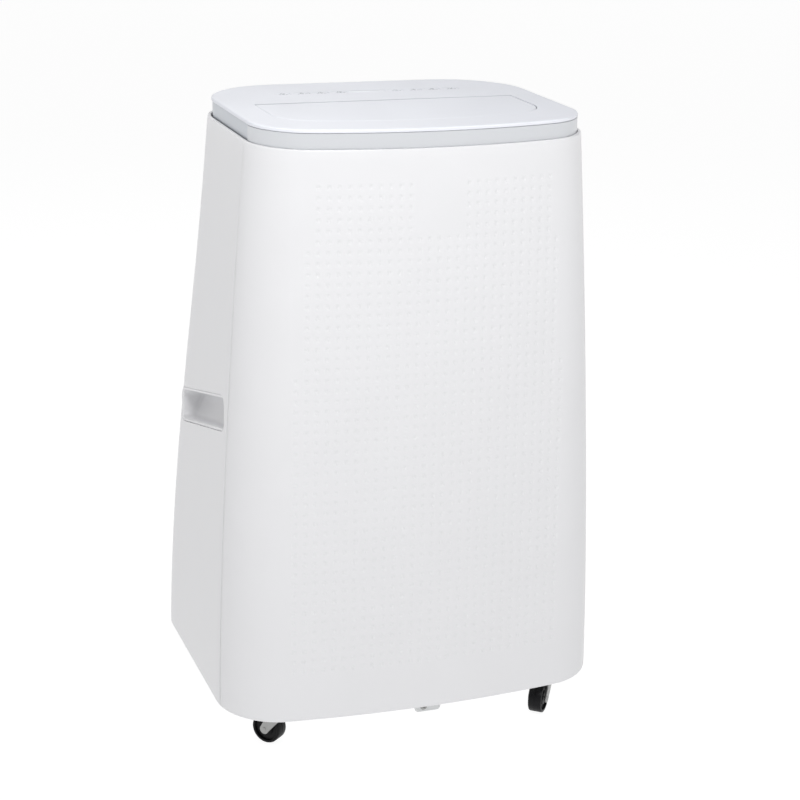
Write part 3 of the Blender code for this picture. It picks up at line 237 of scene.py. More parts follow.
def close_up(piece):
    """Merge a folded grid's meeting edges, fill its ends, and turn its faces out."""
    pick(piece)
    bpy.ops.object.mode_set(mode="EDIT")
    bpy.ops.mesh.select_mode(type="VERT")
    bpy.ops.mesh.select_all(action="SELECT")
    bpy.ops.mesh.remove_doubles(threshold=0.00002)
    bpy.ops.mesh.select_all(action="DESELECT")
    bpy.ops.mesh.select_non_manifold(extend=False)
    bpy.ops.mesh.edge_face_add()
    bpy.ops.mesh.select_all(action="SELECT")
    bpy.ops.mesh.normals_make_consistent(inside=False)
    bpy.ops.object.mode_set(mode="OBJECT")


def smooth(piece, angle=35.0):
    pick(piece)
    bpy.ops.object.shade_smooth_by_angle(angle=math.radians(angle))


def pick_faces(piece, wanted):
    """Select the faces that wanted() holds for, ready for edit mode."""
    pick(piece)
    bpy.ops.object.mode_set(mode="EDIT")
    bpy.ops.mesh.select_mode(type="FACE")
    bpy.ops.mesh.select_all(action="DESELECT")
    bpy.ops.object.mode_set(mode="OBJECT")
    for face in piece.data.polygons:
        face.select = wanted(face)
    bpy.ops.object.mode_set(mode="EDIT")


def moulded(name, colour, roughness, metallic=0.0, mottle=0.02, mottle_size=0.06,
            grain=0.00002, grain_size=0.0009, shine=0.5):
    """A moulded or painted finish: faint cloudiness, uneven gloss and a fine grain."""
    made = bpy.data.materials.new(name)
    made.use_nodes = True
    nodes, links = made.node_tree.nodes, made.node_tree.links
    shader = nodes["Principled BSDF"]
    shader.inputs["Metallic"].default_value = metallic
    shader.inputs["Specular IOR Level"].default_value = shine
    place = nodes.new("ShaderNodeTexCoord")
    cloud = nodes.new("ShaderNodeTexNoise")
    cloud.inputs["Scale"].default_value = 1.0 / mottle_size
    cloud.inputs["Detail"].default_value = 4.0
    tint = nodes.new("ShaderNodeMix")
    tint.data_type = "RGBA"
    tint.inputs["A"].default_value = (*[value * (1 - mottle) for value in colour], 1)
    tint.inputs["B"].default_value = (*[min(value * (1 + mottle), 1.0) for value in colour], 1)
    gloss = nodes.new("ShaderNodeMapRange")
    gloss.inputs["To Min"].default_value = roughness * 0.85
    gloss.inputs["To Max"].default_value = roughness * 1.15
    fine = nodes.new("ShaderNodeTexNoise")
    fine.inputs["Scale"].default_value = 1.0 / grain_size
    fine.inputs["Detail"].default_value = 2.0
    bump = nodes.new("ShaderNodeBump")
    bump.inputs["Distance"].default_value = grain
    bump.inputs["Strength"].default_value = 0.6
    links.new(place.outputs["Object"], cloud.inputs["Vector"])
    links.new(place.outputs["Object"], fine.inputs["Vector"])
    links.new(cloud.outputs["Fac"], tint.inputs["Factor"])
    links.new(cloud.outputs["Fac"], gloss.inputs["Value"])
    links.new(tint.outputs["Result"], shader.inputs["Base Color"])
    links.new(gloss.outputs["Result"], shader.inputs["Roughness"])
    links.new(fine.outputs["Fac"], bump.inputs["Height"])
    links.new(bump.outputs["Normal"], shader.inputs["Normal"])
    return made


def wear(piece, material):
    piece.data.materials.clear()
    piece.data.materials.append(material)


shell_white = moulded("white_abs_shell", (0.780, 0.780, 0.795), 0.34)

field_top = DIMPLE_TOP + DIMPLE_UP / 2
field_foot = field_top - DIMPLE_UP * DIMPLE_ROWS
foot_rows = [(BOTTOM, 0.0018), (BOTTOM + 0.0004, 0.0007), (BOTTOM + 0.0014, 0.0)]
lip_rows = [(SHOULDER - 0.0004, 0.0004), (SHOULDER, 0.0012), (SHOULDER, 0.0040),
            (SHOULDER - 0.0030, 0.0040), (SHOULDER - 0.0045, WALL)]
inner_rows = [(z, WALL) for z in np.linspace(SHOULDER - 0.0045, BOTTOM, 9)[1:]]
rows = foot_rows + [(z, 0.0) for z in np.linspace(BOTTOM + 0.006, field_foot, 6)]
rows += [(field_foot + DIMPLE_UP * step, 0.0) for step in range(1, DIMPLE_ROWS + 1)]
rows += [(z, 0.0) for z in np.linspace(field_top, SHOULDER - 0.0014, 4)[1:]]
rows += lip_rows + inner_rows + foot_rows[:1]
stations = []
for z, inset in rows:
    x, y = wall_line(z, inset)
    edge = (DIMPLE_SIDE + 0.5) * DIMPLE_ACROSS * fan(z)
    field = np.linspace(-edge, edge, 2 * DIMPLE_SIDE + 2)
    middle = [(value, np.interp(abs(value), x[:AHEAD], y[:AHEAD])) for value in field]
    start = np.interp(edge, x[:AHEAD], run_of(x, y)[:AHEAD])
    end = seam_run(x, y, z)
    reach = np.append(np.linspace(start, end - SEAM_EDGE, SIDE_STEPS)[1:], end)
    side = points_at(x, y, reach)
    if inset == 0.0:
        side[-1] = (side[-1][0] - SEAM_EASE, side[-1][1])
    stations.append([Vector((a, b, z)) for a, b in mirror(side) + middle + side])
front = shaped_grid("front_shell", len(stations[0]) - 1, len(rows) - 1,
                    lambda column, row: stations[row][column])
close_up(front)


def dimpled(face):
    """Whether a face is one of the cells that get a dimple."""
    x, y, z = face.center
    if face.normal.y > -0.3 or y > -0.12:
        return False
    column = x / (DIMPLE_ACROSS * fan(z))
    row = (DIMPLE_TOP - z) / DIMPLE_UP
    if abs(row - round(row)) > 0.2 or not 0 <= round(row) < DIMPLE_ROWS:
        return False
    limit = next((count for last, count in DIMPLE_CROWN if row < last), DIMPLE_SIDE)
    patch = abs(column) < PATCH_COLUMNS and row < PATCH_ROWS
    return abs(column) < limit + 0.5 and not patch and abs(column - round(column)) < 0.2


pick_faces(front, dimpled)
bpy.ops.mesh.inset(thickness=DIMPLE_MARGIN, use_individual=True)
bpy.ops.mesh.bevel(offset=DIMPLE_CUT, segments=1, affect="VERTICES")
bpy.ops.object.mode_set(mode="OBJECT")
pick_faces(front, lambda face: len(face.vertices) >= 8 and face.area < 0.00004
           and face.normal.y < -0.3)
for step_in, step_down in DIMPLE_SINK:
    bpy.ops.mesh.inset(thickness=step_in, depth=step_down, use_individual=True)
bpy.ops.object.mode_set(mode="OBJECT")
smooth(front, 40.0)
wear(front, shell_white)
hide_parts("front_cover")
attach(front, "frame")

# ---- rear housing -----------------------------------------------------------
# The rear shell, moulded in the same white ABS and smooth all over. It has
# openings for the grips, the two intake panels, the air collar, the drain
# plugs and the cord gland.
REAR_STEPS = 76
HANDLE_LENGTH, HANDLE_HEIGHT, HANDLE_CORNER = 0.205, 0.040, 0.012
HANDLE_PLACE = (0.002, 0.382)      # y, z
HANDLE_SLANT = math.radians(14.0)
HANDLE_ROOM = 0.0017
GRILLE_WIDTH = 0.270
GRILLE_ROOM = 0.0006
GRILLES = (("upper", 0.585, 0.150), ("lower", 0.180, 0.130))   # word, z, height
COLLAR_Z = 0.335
COLLAR_OUTER = 0.0686
COLLAR_ROOM = 0.0006
PLUG_RADIUS = 0.0085
PLUG_ROOM = 0.0004
UPPER_PLUG, LOWER_PLUG, GLAND = (0.135, 0.300), (-0.120, 0.0685), (0.150, 0.105)   # x, z


def rear_spot(x, z, sink=0.0):
    """A place on the rear wall whose local Z points straight out of it."""
    lean = math.atan((back_at(z - 0.02) - back_at(z + 0.02)) / 0.04)
    y = back_at(z) - BACK_BOW * (x / half_width_at(z)) ** 2
    return (Matrix.Translation((x, y, z)) @ Matrix.Rotation(lean - math.pi / 2, 4, "X")
            @ Matrix.Translation((0, 0, -sink)))


def side_spot(side):
    """The middle of a grip, whose local Z points out of the side wall."""
    y, z = HANDLE_PLACE
    lean = math.atan((half_width_at(z - 0.03) - half_width_at(z + 0.03)) / 0.06)
    outward = Vector((side * math.cos(lean), 0, math.sin(lean)))
    along = Vector((0, side * math.cos(HANDLE_SLANT), -side * math.sin(HANDLE_SLANT)))
    along = (along - outward * along.dot(outward)).normalized()
    turn = Matrix((along, outward.cross(along), outward)).transposed().to_4x4()
    return Matrix.Translation((side * half_width_at(z), y, z)) @ turn


def rounded_slab(name, width, depth, corner, low, high, steps=6):
    """A slab with rounded corners, lying flat between two heights."""
    bpy.ops.object.select_all(action="DESELECT")
    bpy.ops.mesh.primitive_plane_add(size=1.0)
    piece = bpy.context.object
    piece.name = piece.data.name = name
    bpy.ops.object.mode_set(mode="EDIT")
    bpy.ops.mesh.select_mode(type="VERT")
    bpy.ops.mesh.select_all(action="SELECT")
    bpy.ops.transform.resize(value=(width, depth, 1.0))
    bpy.ops.mesh.bevel(offset=corner, segments=steps, affect="VERTICES")
    bpy.ops.transform.translate(value=(0, 0, low))
    bpy.ops.mesh.extrude_region_move(TRANSFORM_OT_translate={"value": (0, 0, high - low)})
    bpy.ops.mesh.select_all(action="SELECT")
    bpy.ops.mesh.normals_make_consistent(inside=False)
    bpy.ops.object.mode_set(mode="OBJECT")
    return piece


def rod(name, radius, start, end, sides=32, soft=0.0003):
    """A round bar with chamfered ends."""
    start, end = Vector(start), Vector(end)
    length = (end - start).length
    bpy.ops.object.select_all(action="DESELECT")
    bpy.ops.mesh.primitive_cylinder_add(vertices=sides, radius=radius, depth=length - 2 * soft)
    piece = bpy.context.object
    piece.name = piece.data.name = name
    pick_faces(piece, lambda face: len(face.vertices) > 4)
    bpy.ops.mesh.inset(thickness=soft, depth=soft)
    bpy.ops.object.mode_set(mode="OBJECT")
    turn = (end - start).to_track_quat("Z", "Y").to_matrix().to_4x4()
    piece.data.transform(Matrix.Translation((start + end) / 2) @ turn)
    return piece


def finish_step(piece, kind, **settings):
    """Add one modifier with its settings and apply it."""
    pick(piece)
    bpy.ops.object.modifier_add(type=kind)
    step = piece.modifiers[-1]
    for key, value in settings.items():
        setattr(step, key, value)
    bpy.ops.object.modifier_apply(modifier=step.name)


def cut_away(piece, *cutters):
    for cutter in cutters:
        finish_step(piece, "BOOLEAN", object=cutter, operation="DIFFERENCE", solver="EXACT")
        bpy.data.objects.remove(cutter)


def placed(piece, place):
    piece.data.transform(place)
    return piece


def plug_cutter(x, z):
    """A cutter for a plug's hole, standing in the rear wall."""
    return placed(rod("plug_cutter", PLUG_RADIUS + PLUG_ROOM, (0, 0, -0.03), (0, 0, 0.03)),
                  rear_spot(x, z))


def fit(piece, material, body, slot, *nodes):
    """Give a finished piece its material and its body, and hide the CAD nodes it stands for. The
    slot argument is not used.
    """
    wear(piece, material)
    if nodes:
        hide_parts(*nodes)
    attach(piece, body)


rows = foot_rows + [(z, 0.0) for z in np.linspace(BOTTOM + 0.006, SHOULDER - 0.0014, 44)]
rows += lip_rows + inner_rows + foot_rows[:1]
stations = []
for z, inset in rows:
    x, y = wall_line(z, inset)
    start, end = seam_run(x, y, z, SEAM_GAP), run_of(x, y)[-1]
    side = points_at(x, y, np.append(start, np.linspace(start + SEAM_EDGE, end, REAR_STEPS)))
    if inset == 0.0:
        side[0] = (side[0][0] - SEAM_EASE, side[0][1])
    stations.append([Vector((a, b, z)) for a, b in side + mirror(side[:-1])])
rear = shaped_grid("rear_shell", len(stations[0]) - 1, len(rows) - 1,
                   lambda column, row: stations[row][column])
close_up(rear)
for side in (-1, 1):
    cut_away(rear, placed(rounded_slab("grip_cutter", HANDLE_LENGTH + 2 * HANDLE_ROOM,
                                       HANDLE_HEIGHT + 2 * HANDLE_ROOM,
                                       HANDLE_CORNER + HANDLE_ROOM, -0.02, 0.02, 12),
                          side_spot(side)))
for word, z, height in GRILLES:
    cut_away(rear, placed(rounded_slab("panel_cutter", GRILLE_WIDTH + 2 * GRILLE_ROOM,
                                       height + 2 * GRILLE_ROOM, 0.003, -0.03, 0.02, 4),
                          rear_spot(0, z)))
cut_away(rear, rod("collar_cutter", COLLAR_OUTER + COLLAR_ROOM, (0, 0.12, COLLAR_Z),
                   (0, 0.25, COLLAR_Z), 72))
for x, z in (UPPER_PLUG, LOWER_PLUG, GLAND):
    cut_away(rear, plug_cutter(x, z))
smooth(rear, 30.0)
fit(rear, shell_white, "frame", "white_shell", "rear_housing")

# ---- handle cups ------------------------------------------------------------
# A scooped grip in each side, moulded in the shell's white and clipped in from
# inside. The scoop is shallow at the bottom and deep behind the upper lip.
CUP_BACK = -0.0076                 # flange behind the wall's face
CUP_FLOOR = (0.004, 0.025)         # depth at the lower edge and under the lip
CUP_SHEET = 0.0020


def rounded_ring(half_x, half_y, corner, steps=9):
    """Points round a rounded rectangle about the middle."""
    points = []
    for quarter, (a, b) in enumerate(((1, -1), (1, 1), (-1, 1), (-1, -1))):
        for turn in np.linspace(-math.pi / 2, 0.0, steps) + quarter * math.pi / 2:
            points.append((a * (half_x - corner) + corner * math.cos(turn),
                           b * (half_y - corner) + corner * math.sin(turn)))
    return points


def stacked(name, rings):
    """A skin over closed rings of equal count, filled at both ends."""
    count = len(rings[0])
    piece = shaped_grid(name, count, len(rings) - 1,
                        lambda column, row: rings[row][column % count])
    close_up(piece)
    return piece


def grip_ring(grow, z):
    return [Vector((a, b, z)) for a, b in
            rounded_ring(HANDLE_LENGTH / 2 + grow, HANDLE_HEIGHT / 2 + grow,
                         HANDLE_CORNER + grow)]


def scoop_ring(inset, above):
    ring = rounded_ring(HANDLE_LENGTH / 2 - 0.006 - inset, HANDLE_HEIGHT / 2 - 0.002 - inset,
                        HANDLE_CORNER - 0.002 - inset)
    return [Vector((a, b, CUP_BACK + above - between(CUP_FLOOR, b / HANDLE_HEIGHT + 0.5)))
            for a, b in ring]


for side, word in ((-1, "left"), (1, "right")):
    under = [scoop_ring(0.004, -CUP_SHEET), scoop_ring(-0.0020, -CUP_SHEET)]
    flange = [grip_ring(0.002, CUP_BACK - CUP_SHEET), grip_ring(0.005, CUP_BACK - CUP_SHEET),
              grip_ring(0.005, CUP_BACK), grip_ring(0.0014, CUP_BACK)]
    rim = [grip_ring(0.0014, -0.0011), grip_ring(0.0010, -0.0007), grip_ring(0.0004, -0.0006),
           grip_ring(-0.0006, -0.0009), grip_ring(-0.0016, -0.0018),
           grip_ring(-0.0024, -0.0034)]
    hollow = [scoop_ring(0.0004, 0.0045), scoop_ring(0.0016, 0.0018),
              scoop_ring(0.0034, 0.0005), scoop_ring(0.0060, 0.0)]
    cup = stacked(f"grip_cup_{word}", under + flange + rim + hollow)
    placed(cup, side_spot(side))
    smooth(cup, 50.0)
    fit(cup, shell_white, "frame", "white_shell", f"handle_cup_{word}")

# ---- silver bands -----------------------------------------------------------
# The ring under the top cover, moulded in two lengths that meet above the shells' seams. Silver
# lacquer on ABS; the rear length stands back a little, and its lacquer is painted darker and
# bluer as painted shade.
TOP_STEP = 0.0044                  # top cover's edge inside the shells' shoulder
BAND_LOW, BAND_HIGH = 0.7256, 0.7456
BAND_WALL = 0.0026
BAND_SOFT = 0.0005
BAND_ENDS = (0.0004, 0.0022)       # front and rear lengths' ends, off the seam
silver = moulded("silver_lacquer", (0.66, 0.675, 0.70), 0.30, 0.35, mottle=0.015,
                 grain=0.00001, grain_size=0.0004)
# The rear length's copy of the lacquer is darker and bluer than the front's: painted shade, the
# same lacquer coloured as if it stood in shadow.
silver_painted_shade_rear = moulded("silver_lacquer_painted_shade_rear", (0.58, 0.61, 0.65), 0.34, 0.35, mottle=0.015,
                      grain=0.00001, grain_size=0.0004)
for word, inset, lacquer in (("front", 0.0004, silver), ("rear", 0.0014, silver_painted_shade_rear)):
    section = [(BAND_LOW, inset + BAND_SOFT), (BAND_LOW + BAND_SOFT, inset),
               (BAND_HIGH - BAND_SOFT, inset), (BAND_HIGH, inset + BAND_SOFT),
               (BAND_HIGH, BAND_WALL), (BAND_LOW, BAND_WALL), (BAND_LOW, inset + BAND_SOFT)]
    lines = []
    for z, depth in section:
        x, y = wall_line(SHOULDER, TOP_STEP + depth)
        seam, end = seam_run(x, y, z), run_of(x, y)[-1]
        if word == "front":
            half = points_at(x, y, np.linspace(0.0, seam - BAND_ENDS[0], 70))
            line = mirror(half[1:]) + half
        else:
            half = points_at(x, y, np.linspace(seam + BAND_ENDS[1], end, 70))
            line = half + mirror(half[:-1])
        lines.append([Vector((a, b, z)) for a, b in line])
    band = shaped_grid(f"{word}_silver_band", len(lines[0]) - 1, len(section) - 1,
                       lambda column, row: lines[row][column])
    close_up(band)
    smooth(band, 30.0)
    fit(band, lacquer, "frame", "silver_band", f"{word}_band")

# ---- top cover --------------------------------------------------------------
# The lid, moulded in cool white ABS with a rounded edge bead, a skirt that
# drops inside the bands, and openings for the flap, the keys and the display.
TOP = 0.750
PLATE_UNDER = 0.746
BEAD = 0.0024
SKIRT_FACE, SKIRT_BACK, SKIRT_DROP = 0.0034, 0.0056, 0.026
FLAP_HALF = 0.161
FLAP_FRONT, FLAP_REAR = 0.139, 0.0055
FLAP_CORNER = 0.040
FLAP_BOW = 0.026
FLAP_SOFT = 0.002                  # its rear corners
FLAP_ROOM, FLAP_REAR_ROOM = 0.0009, 0.0035
KEY_ROW = 0.0625
KEY_WIDTH, KEY_DEPTH, KEY_CORNER = 0.0185, 0.0130, 0.0022
KEY_ROOM = 0.00035
KEY_PLACES = (-0.108, -0.084, -0.060, -0.036, 0.036, 0.060, 0.084, 0.108)
LENS_WIDTH, LENS_DEPTH = 0.044, 0.013
cover_white = moulded("cool_white_abs", (0.785, 0.80, 0.85), 0.36)


def cover_ring(z, inset):
    x, y = wall_line(SHOULDER, TOP_STEP + inset)
    half = points_at(x, y, np.linspace(0.0, run_of(x, y)[-1], 100))
    return [Vector((a, b, z)) for a, b in half + mirror(half[1:-1])]


def flap_ring(z, grow=0.0, grow_rear=0.0):
    """The flap's outline: straight behind, bowed in front, with wide front corners."""
    half, front, back = FLAP_HALF + grow, FLAP_FRONT + grow, -FLAP_REAR + grow_rear
    turn = np.linspace(0.0, math.pi / 2, 16)
    flat = half - FLAP_CORNER
    points = [(a, -front) for a in np.linspace(0.0, flat, 14, endpoint=False)]
    points += [(flat + FLAP_CORNER * math.sin(t), -front + FLAP_CORNER * (1 - math.cos(t)))
               for t in turn]
    points = [(a, b + FLAP_BOW * (a / half) ** 2) for a, b in points]
    points += [(half - FLAP_SOFT + FLAP_SOFT * math.cos(t),
                back - FLAP_SOFT + FLAP_SOFT * math.sin(t)) for t in turn[::3]]
    points += [(0.0, back)]
    return [Vector((a, b, z)) for a, b in points + mirror(points[1:-1])]


rings = [(PLATE_UNDER, SKIRT_BACK), (PLATE_UNDER - SKIRT_DROP, SKIRT_BACK),
         (PLATE_UNDER - SKIRT_DROP, SKIRT_FACE), (PLATE_UNDER, SKIRT_FACE),
         (PLATE_UNDER, 0.0005), (PLATE_UNDER + 0.0004, 0.0)]
rings += [(TOP - BEAD + BEAD * math.sin(t), BEAD * (1 - math.cos(t)))
          for t in np.linspace(0.0, math.pi / 2, 7)]
rings.append((TOP, BEAD + 0.003))
cover = stacked("top_lid", [cover_ring(z, inset) for z, inset in rings])
cut_away(cover, stacked("flap_cutter", [flap_ring(z, FLAP_ROOM, FLAP_REAR_ROOM)
                                        for z in (0.73, 0.77)]))
for x in KEY_PLACES:
    cut_away(cover, placed(rounded_slab("key_cutter", KEY_WIDTH + 2 * KEY_ROOM,
                                        KEY_DEPTH + 2 * KEY_ROOM, KEY_CORNER + KEY_ROOM,
                                        0.74, 0.76), Matrix.Translation((x, KEY_ROW, 0))))
cut_away(cover, placed(rounded_slab("lens_cutter", LENS_WIDTH + 2 * KEY_ROOM,
                                    LENS_DEPTH + 2 * KEY_ROOM, 0.0010, 0.74, 0.76),
                       Matrix.Translation((0, KEY_ROW, 0))))
smooth(cover, 30.0)
fit(cover, cover_white, "frame", "top_white", "top_cover")

# ---- display lens -----------------------------------------------------------
# A pale window between the keys, clear-faced with white paint behind, so the
# display doesn't show while it is off.
lens_clear = moulded("pale_lens", (0.75, 0.765, 0.81), 0.30, mottle=0.01)


def ease_edges(piece, width, sharp=1.0):
    finish_step(piece, "BEVEL", width=width, segments=2, limit_method="ANGLE",
                angle_limit=sharp)


lens = placed(rounded_slab("lens_window", LENS_WIDTH, LENS_DEPTH, 0.0008, 0.7455, TOP - 0.0001),
              Matrix.Translation((0, KEY_ROW, 0)))
ease_edges(lens, 0.0003)
smooth(lens)
fit(lens, lens_clear, "frame", "smoked_lens", "display_lens")

# ---- keys -------------------------------------------------------------------
# Eight caps in white ABS, four each side of the display. Each goes in from
# under the lid, is held by its foot and has a plain sign pad-printed in grey.
print_grey = moulded("grey_key_print", (0.17, 0.18, 0.21), 0.40, mottle=0.03)


def bar(name, low, high, soft, steps=2):
    """A bar between two corners with all its edges eased."""
    low, high = Vector(low), Vector(high)
    bpy.ops.object.select_all(action="DESELECT")
    bpy.ops.mesh.primitive_cube_add(size=1.0)
    piece = bpy.context.object
    piece.name = piece.data.name = name
    bpy.ops.object.mode_set(mode="EDIT")
    bpy.ops.transform.resize(value=high - low)
    bpy.ops.mesh.bevel(offset=soft, segments=steps, affect="EDGES")
    bpy.ops.transform.translate(value=(low + high) / 2)
    bpy.ops.object.mode_set(mode="OBJECT")
    return piece


def joined(name, *pieces):
    bpy.ops.object.select_all(action="DESELECT")
    for piece in pieces:
        piece.select_set(True)
    bpy.context.view_layer.objects.active = pieces[0]
    bpy.ops.object.join()
    pieces[0].name = pieces[0].data.name = name
    return pieces[0]


def mark(x, y, width, depth, turn=0.0):
    """One printed stroke, a film of ink on the cap's face."""
    stroke = rounded_slab("stroke", width, depth, min(width, depth) * 0.45, 0.0, 0.00006, 3)
    return placed(stroke, Matrix.Translation((x, y, 0)) @ Matrix.Rotation(turn, 4, "Z"))


def ring_mark(x, y, radius, reach=2.4, strokes=9):
    """A printed ring with a gap at its top."""
    return [mark(x + radius * math.sin(t), y - radius * math.cos(t), radius * 0.62, 0.0008, t)
            for t in np.linspace(-reach, reach, strokes)]


def sign(number, x, y):
    """The plain sign on a key: on, speed, swing, timer, down, up, mode or night."""
    if number == 1:
        return ring_mark(x, y, 0.0025) + [mark(x, y + 0.0018, 0.0008, 0.0028)]
    if number == 2:
        return [mark(x + 0.0014 * math.cos(t), y + 0.0014 * math.sin(t), 0.0028, 0.0013, t)
                for t in (1.57, 3.66, 5.76)]
    if number == 3:
        return [mark(x + shift, y, 0.0008, 0.0048, shift * 160) for shift in (-0.002, 0, 0.002)]
    if number == 4:
        return ring_mark(x, y, 0.0025) + [mark(x + 0.0006, y, 0.0018, 0.0007),
                                          mark(x, y + 0.0007, 0.0007, 0.0019)]
    if number == 5:
        return [mark(x, y, 0.0050, 0.0010)]
    if number == 6:
        return [mark(x, y, 0.0050, 0.0010), mark(x, y, 0.0010, 0.0050)]
    if number == 7:
        return [mark(x, y, 0.0052, 0.0008, t) for t in (0.0, 1.047, 2.094)]
    return ring_mark(x, y, 0.0024, 1.6, 6)


for number, x in enumerate(KEY_PLACES, 1):
    face = TOP - 0.0001
    shapes = [(0.0012, PLATE_UNDER - 0.0014), (0.0012, PLATE_UNDER - 0.0004),
              (0.0, PLATE_UNDER - 0.0004), (0.0, face - 0.0005), (-0.00015, face - 0.00015),
              (-0.0005, face), (-0.0010, face)]
    cap = stacked(f"key_cap_{number}", [
        [Vector((a + x, b + KEY_ROW, z)) for a, b in
         rounded_ring(KEY_WIDTH / 2 + grow, KEY_DEPTH / 2 + grow, KEY_CORNER + min(grow, 0.0), 5)]
        for grow, z in shapes])
    smooth(cap)
    fit(cap, cover_white, f"key_{number}", "key_print", f"key_{number}")
    strokes = sign(number, x, KEY_ROW + 0.0014)
    strokes += [mark(x + shift, KEY_ROW - 0.0038, 0.0036, 0.0012)
                for shift in (-0.0044, 0, 0.0044)]
    printed = placed(joined(f"key_sign_{number}", *strokes), Matrix.Translation((0, 0, face)))
    fit(printed, print_grey, f"key_{number}", "key_print")

# ---- outlet flap ------------------------------------------------------------
# A thin white lid over the air outlet with a bowed front edge. It swings on
# two pins, moulded on ears under its rear corners, and is ribbed underneath.
HINGE_Y, HINGE_Z = -0.0105, 0.7443
FLAP_TOP, FLAP_UNDER = TOP - 0.0001, TOP - 0.0027
EAR = (0.151, 0.154)
PIN_RADIUS, PIN_END = 0.0015, 0.1648
FLAP_RIBS = (-0.096, -0.048, 0.0, 0.048, 0.096)
shapes = [(-0.0060, FLAP_UNDER + 0.0010), (-0.0052, FLAP_UNDER), (-0.0006, FLAP_UNDER),
          (0.0, FLAP_UNDER + 0.0005), (0.0, FLAP_TOP - 0.0007), (-0.0003, FLAP_TOP - 0.0002),
          (-0.0009, FLAP_TOP), (-0.0030, FLAP_TOP)]
parts = [stacked("flap_plate", [flap_ring(z, grow, grow) for grow, z in shapes])]
for x in FLAP_RIBS:
    parts.append(bar("flap_rib", (x - 0.0008, -0.124, FLAP_UNDER + 0.0001),
                     (x + 0.0008, -0.016, FLAP_UNDER + 0.0013), 0.0003, 1))
for side in (-1, 1):
    near, far = sorted((side * EAR[0], side * EAR[1]))
    parts.append(bar("flap_ear", (near, HINGE_Y - 0.0045, HINGE_Z - 0.0028),
                     (far, HINGE_Y + 0.0028, TOP - 0.0015), 0.0006))
    parts.append(rod("flap_pin", PIN_RADIUS, (side * EAR[0], HINGE_Y, HINGE_Z),
                     (side * PIN_END, HINGE_Y, HINGE_Z), 24))
flap = joined("flap_lid", *parts)
smooth(flap)
fit(flap, cover_white, "flap", "top_white", "outlet_flap")

# ---- outlet duct, vanes and link --------------------------------------------
# Grey moulded polypropylene. The duct carries the air up to the flap; two
# rails across it hold five upright vanes, which a slotted link turns together.
duct_grey = moulded("grey_polypropylene", (0.30, 0.31, 0.33), 0.52, mottle=0.03,
                    grain=0.00003, grain_size=0.0007)


def eased_copy(node, name, width):
    """A copy of a frame node with its triangles merged, flats made whole, edges eased."""
    piece = bpy.data.objects.new(name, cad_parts[node].data.copy())
    piece.data.name = name
    bpy.context.scene.collection.objects.link(piece)
    pick(piece)
    bpy.ops.object.mode_set(mode="EDIT")
    bpy.ops.mesh.select_mode(type="VERT")
    bpy.ops.mesh.select_all(action="SELECT")
    bpy.ops.mesh.remove_doubles(threshold=0.00001)
    bpy.ops.mesh.dissolve_limited(angle_limit=math.radians(1.0))
    bpy.ops.object.mode_set(mode="OBJECT")
    ease_edges(piece, width, math.radians(40.0))
    smooth(piece)
    return piece


for number in range(1, 6):
    fit(eased_copy(f"vane_{number}", f"vane_blade_{number}", 0.0005), duct_grey,
        f"vane_{number}", "inner_plastic", f"vane_{number}")
fit(eased_copy("vane_link", "vane_link_bar", 0.0003), duct_grey, "vane_link",
    "inner_plastic", "vane_link")
fit(eased_copy("outlet_duct", "outlet_duct_shell", 0.0003), duct_grey, "frame",
    "inner_plastic", "outlet_duct")

# ---- base tray --------------------------------------------------------------
# The tray that carries the works and holds the casters, in natural white
# polypropylene. Its front tab hangs below the shell and takes a screw.
PAN_LOW, PAN_HIGH = 0.0460, 0.0880
PAN_FLOOR = 0.0030
PAN_ROOM = WALL + 0.0009
TAB_FRONT = 0.187
TAB_WIDTH, TAB_MIDDLE = 0.033, 0.0055
TAB_LOW, TAB_DEPTH = 0.0320, 0.0030
RIB_X, RIB_WIDTH, RIB_LOW = 0.062, 0.020, 0.0415
CASTERS = (("front_left", -0.172, -0.155, 131.0),      # name, x, y, swivel
           ("front_right", 0.172, -0.155, -130.0),
           ("back_left", -0.172, 0.135, 70.0), ("back_right", 0.172, 0.135, 110.0))
tray_white = moulded("natural_polypropylene", (0.72, 0.73, 0.735), 0.42, mottle=0.03)


def tray_ring(z, inset):
    x, y = wall_line(z, PAN_ROOM + inset)
    half = points_at(x, y, np.linspace(0.0, run_of(x, y)[-1], 90))
    return [Vector((a, b, z)) for a, b in half + mirror(half[1:-1])]


tray = stacked("tray_shell", [tray_ring(z, inset) for z, inset in (
    (PAN_LOW, 0.0040), (PAN_LOW, 0.0026), (PAN_LOW + 0.0004, 0.0012),
    (PAN_LOW + 0.0022, 0.0002), (PAN_LOW + 0.0040, 0.0), (PAN_HIGH, 0.0), (PAN_HIGH, WALL),
    (PAN_LOW + PAN_FLOOR + 0.002, WALL), (PAN_LOW + PAN_FLOOR, WALL + 0.002),
    (PAN_LOW + PAN_FLOOR, WALL + 0.006))])
for _, x, y, _ in CASTERS:
    cut_away(tray, rod("stem_cutter", 0.0044, (x, y, 0.036), (x, y, 0.066)))
cut_away(tray, plug_cutter(*LOWER_PLUG))
tab_high = PAN_LOW + 0.0020
tab = rounded_slab("tab_plate", TAB_WIDTH, 2 * (tab_high - TAB_LOW), 0.0050, 0.0, TAB_DEPTH, 8)
placed(tab, Matrix.Translation((TAB_MIDDLE, -TAB_FRONT + TAB_DEPTH, tab_high))
       @ Matrix.Rotation(math.pi / 2, 4, "X"))
cut_away(tab, bar("tab_trim", (-0.05, -0.25, tab_high), (0.05, -0.10, 0.08), 0.001, 1))
screw_z = (TAB_LOW + PAN_LOW) / 2
cut_away(tab, rod("tab_bore", 0.0018, (0, -0.20, screw_z), (0, -0.17, screw_z)))
ease_edges(tab, 0.0004)
parts = [tray, tab]
for side in (-1, 1):
    parts.append(bar("under_rib", (side * RIB_X - RIB_WIDTH / 2, -TAB_FRONT, RIB_LOW),
                     (side * RIB_X + RIB_WIDTH / 2, -TAB_FRONT + 0.004, tab_high), 0.0012, 3))
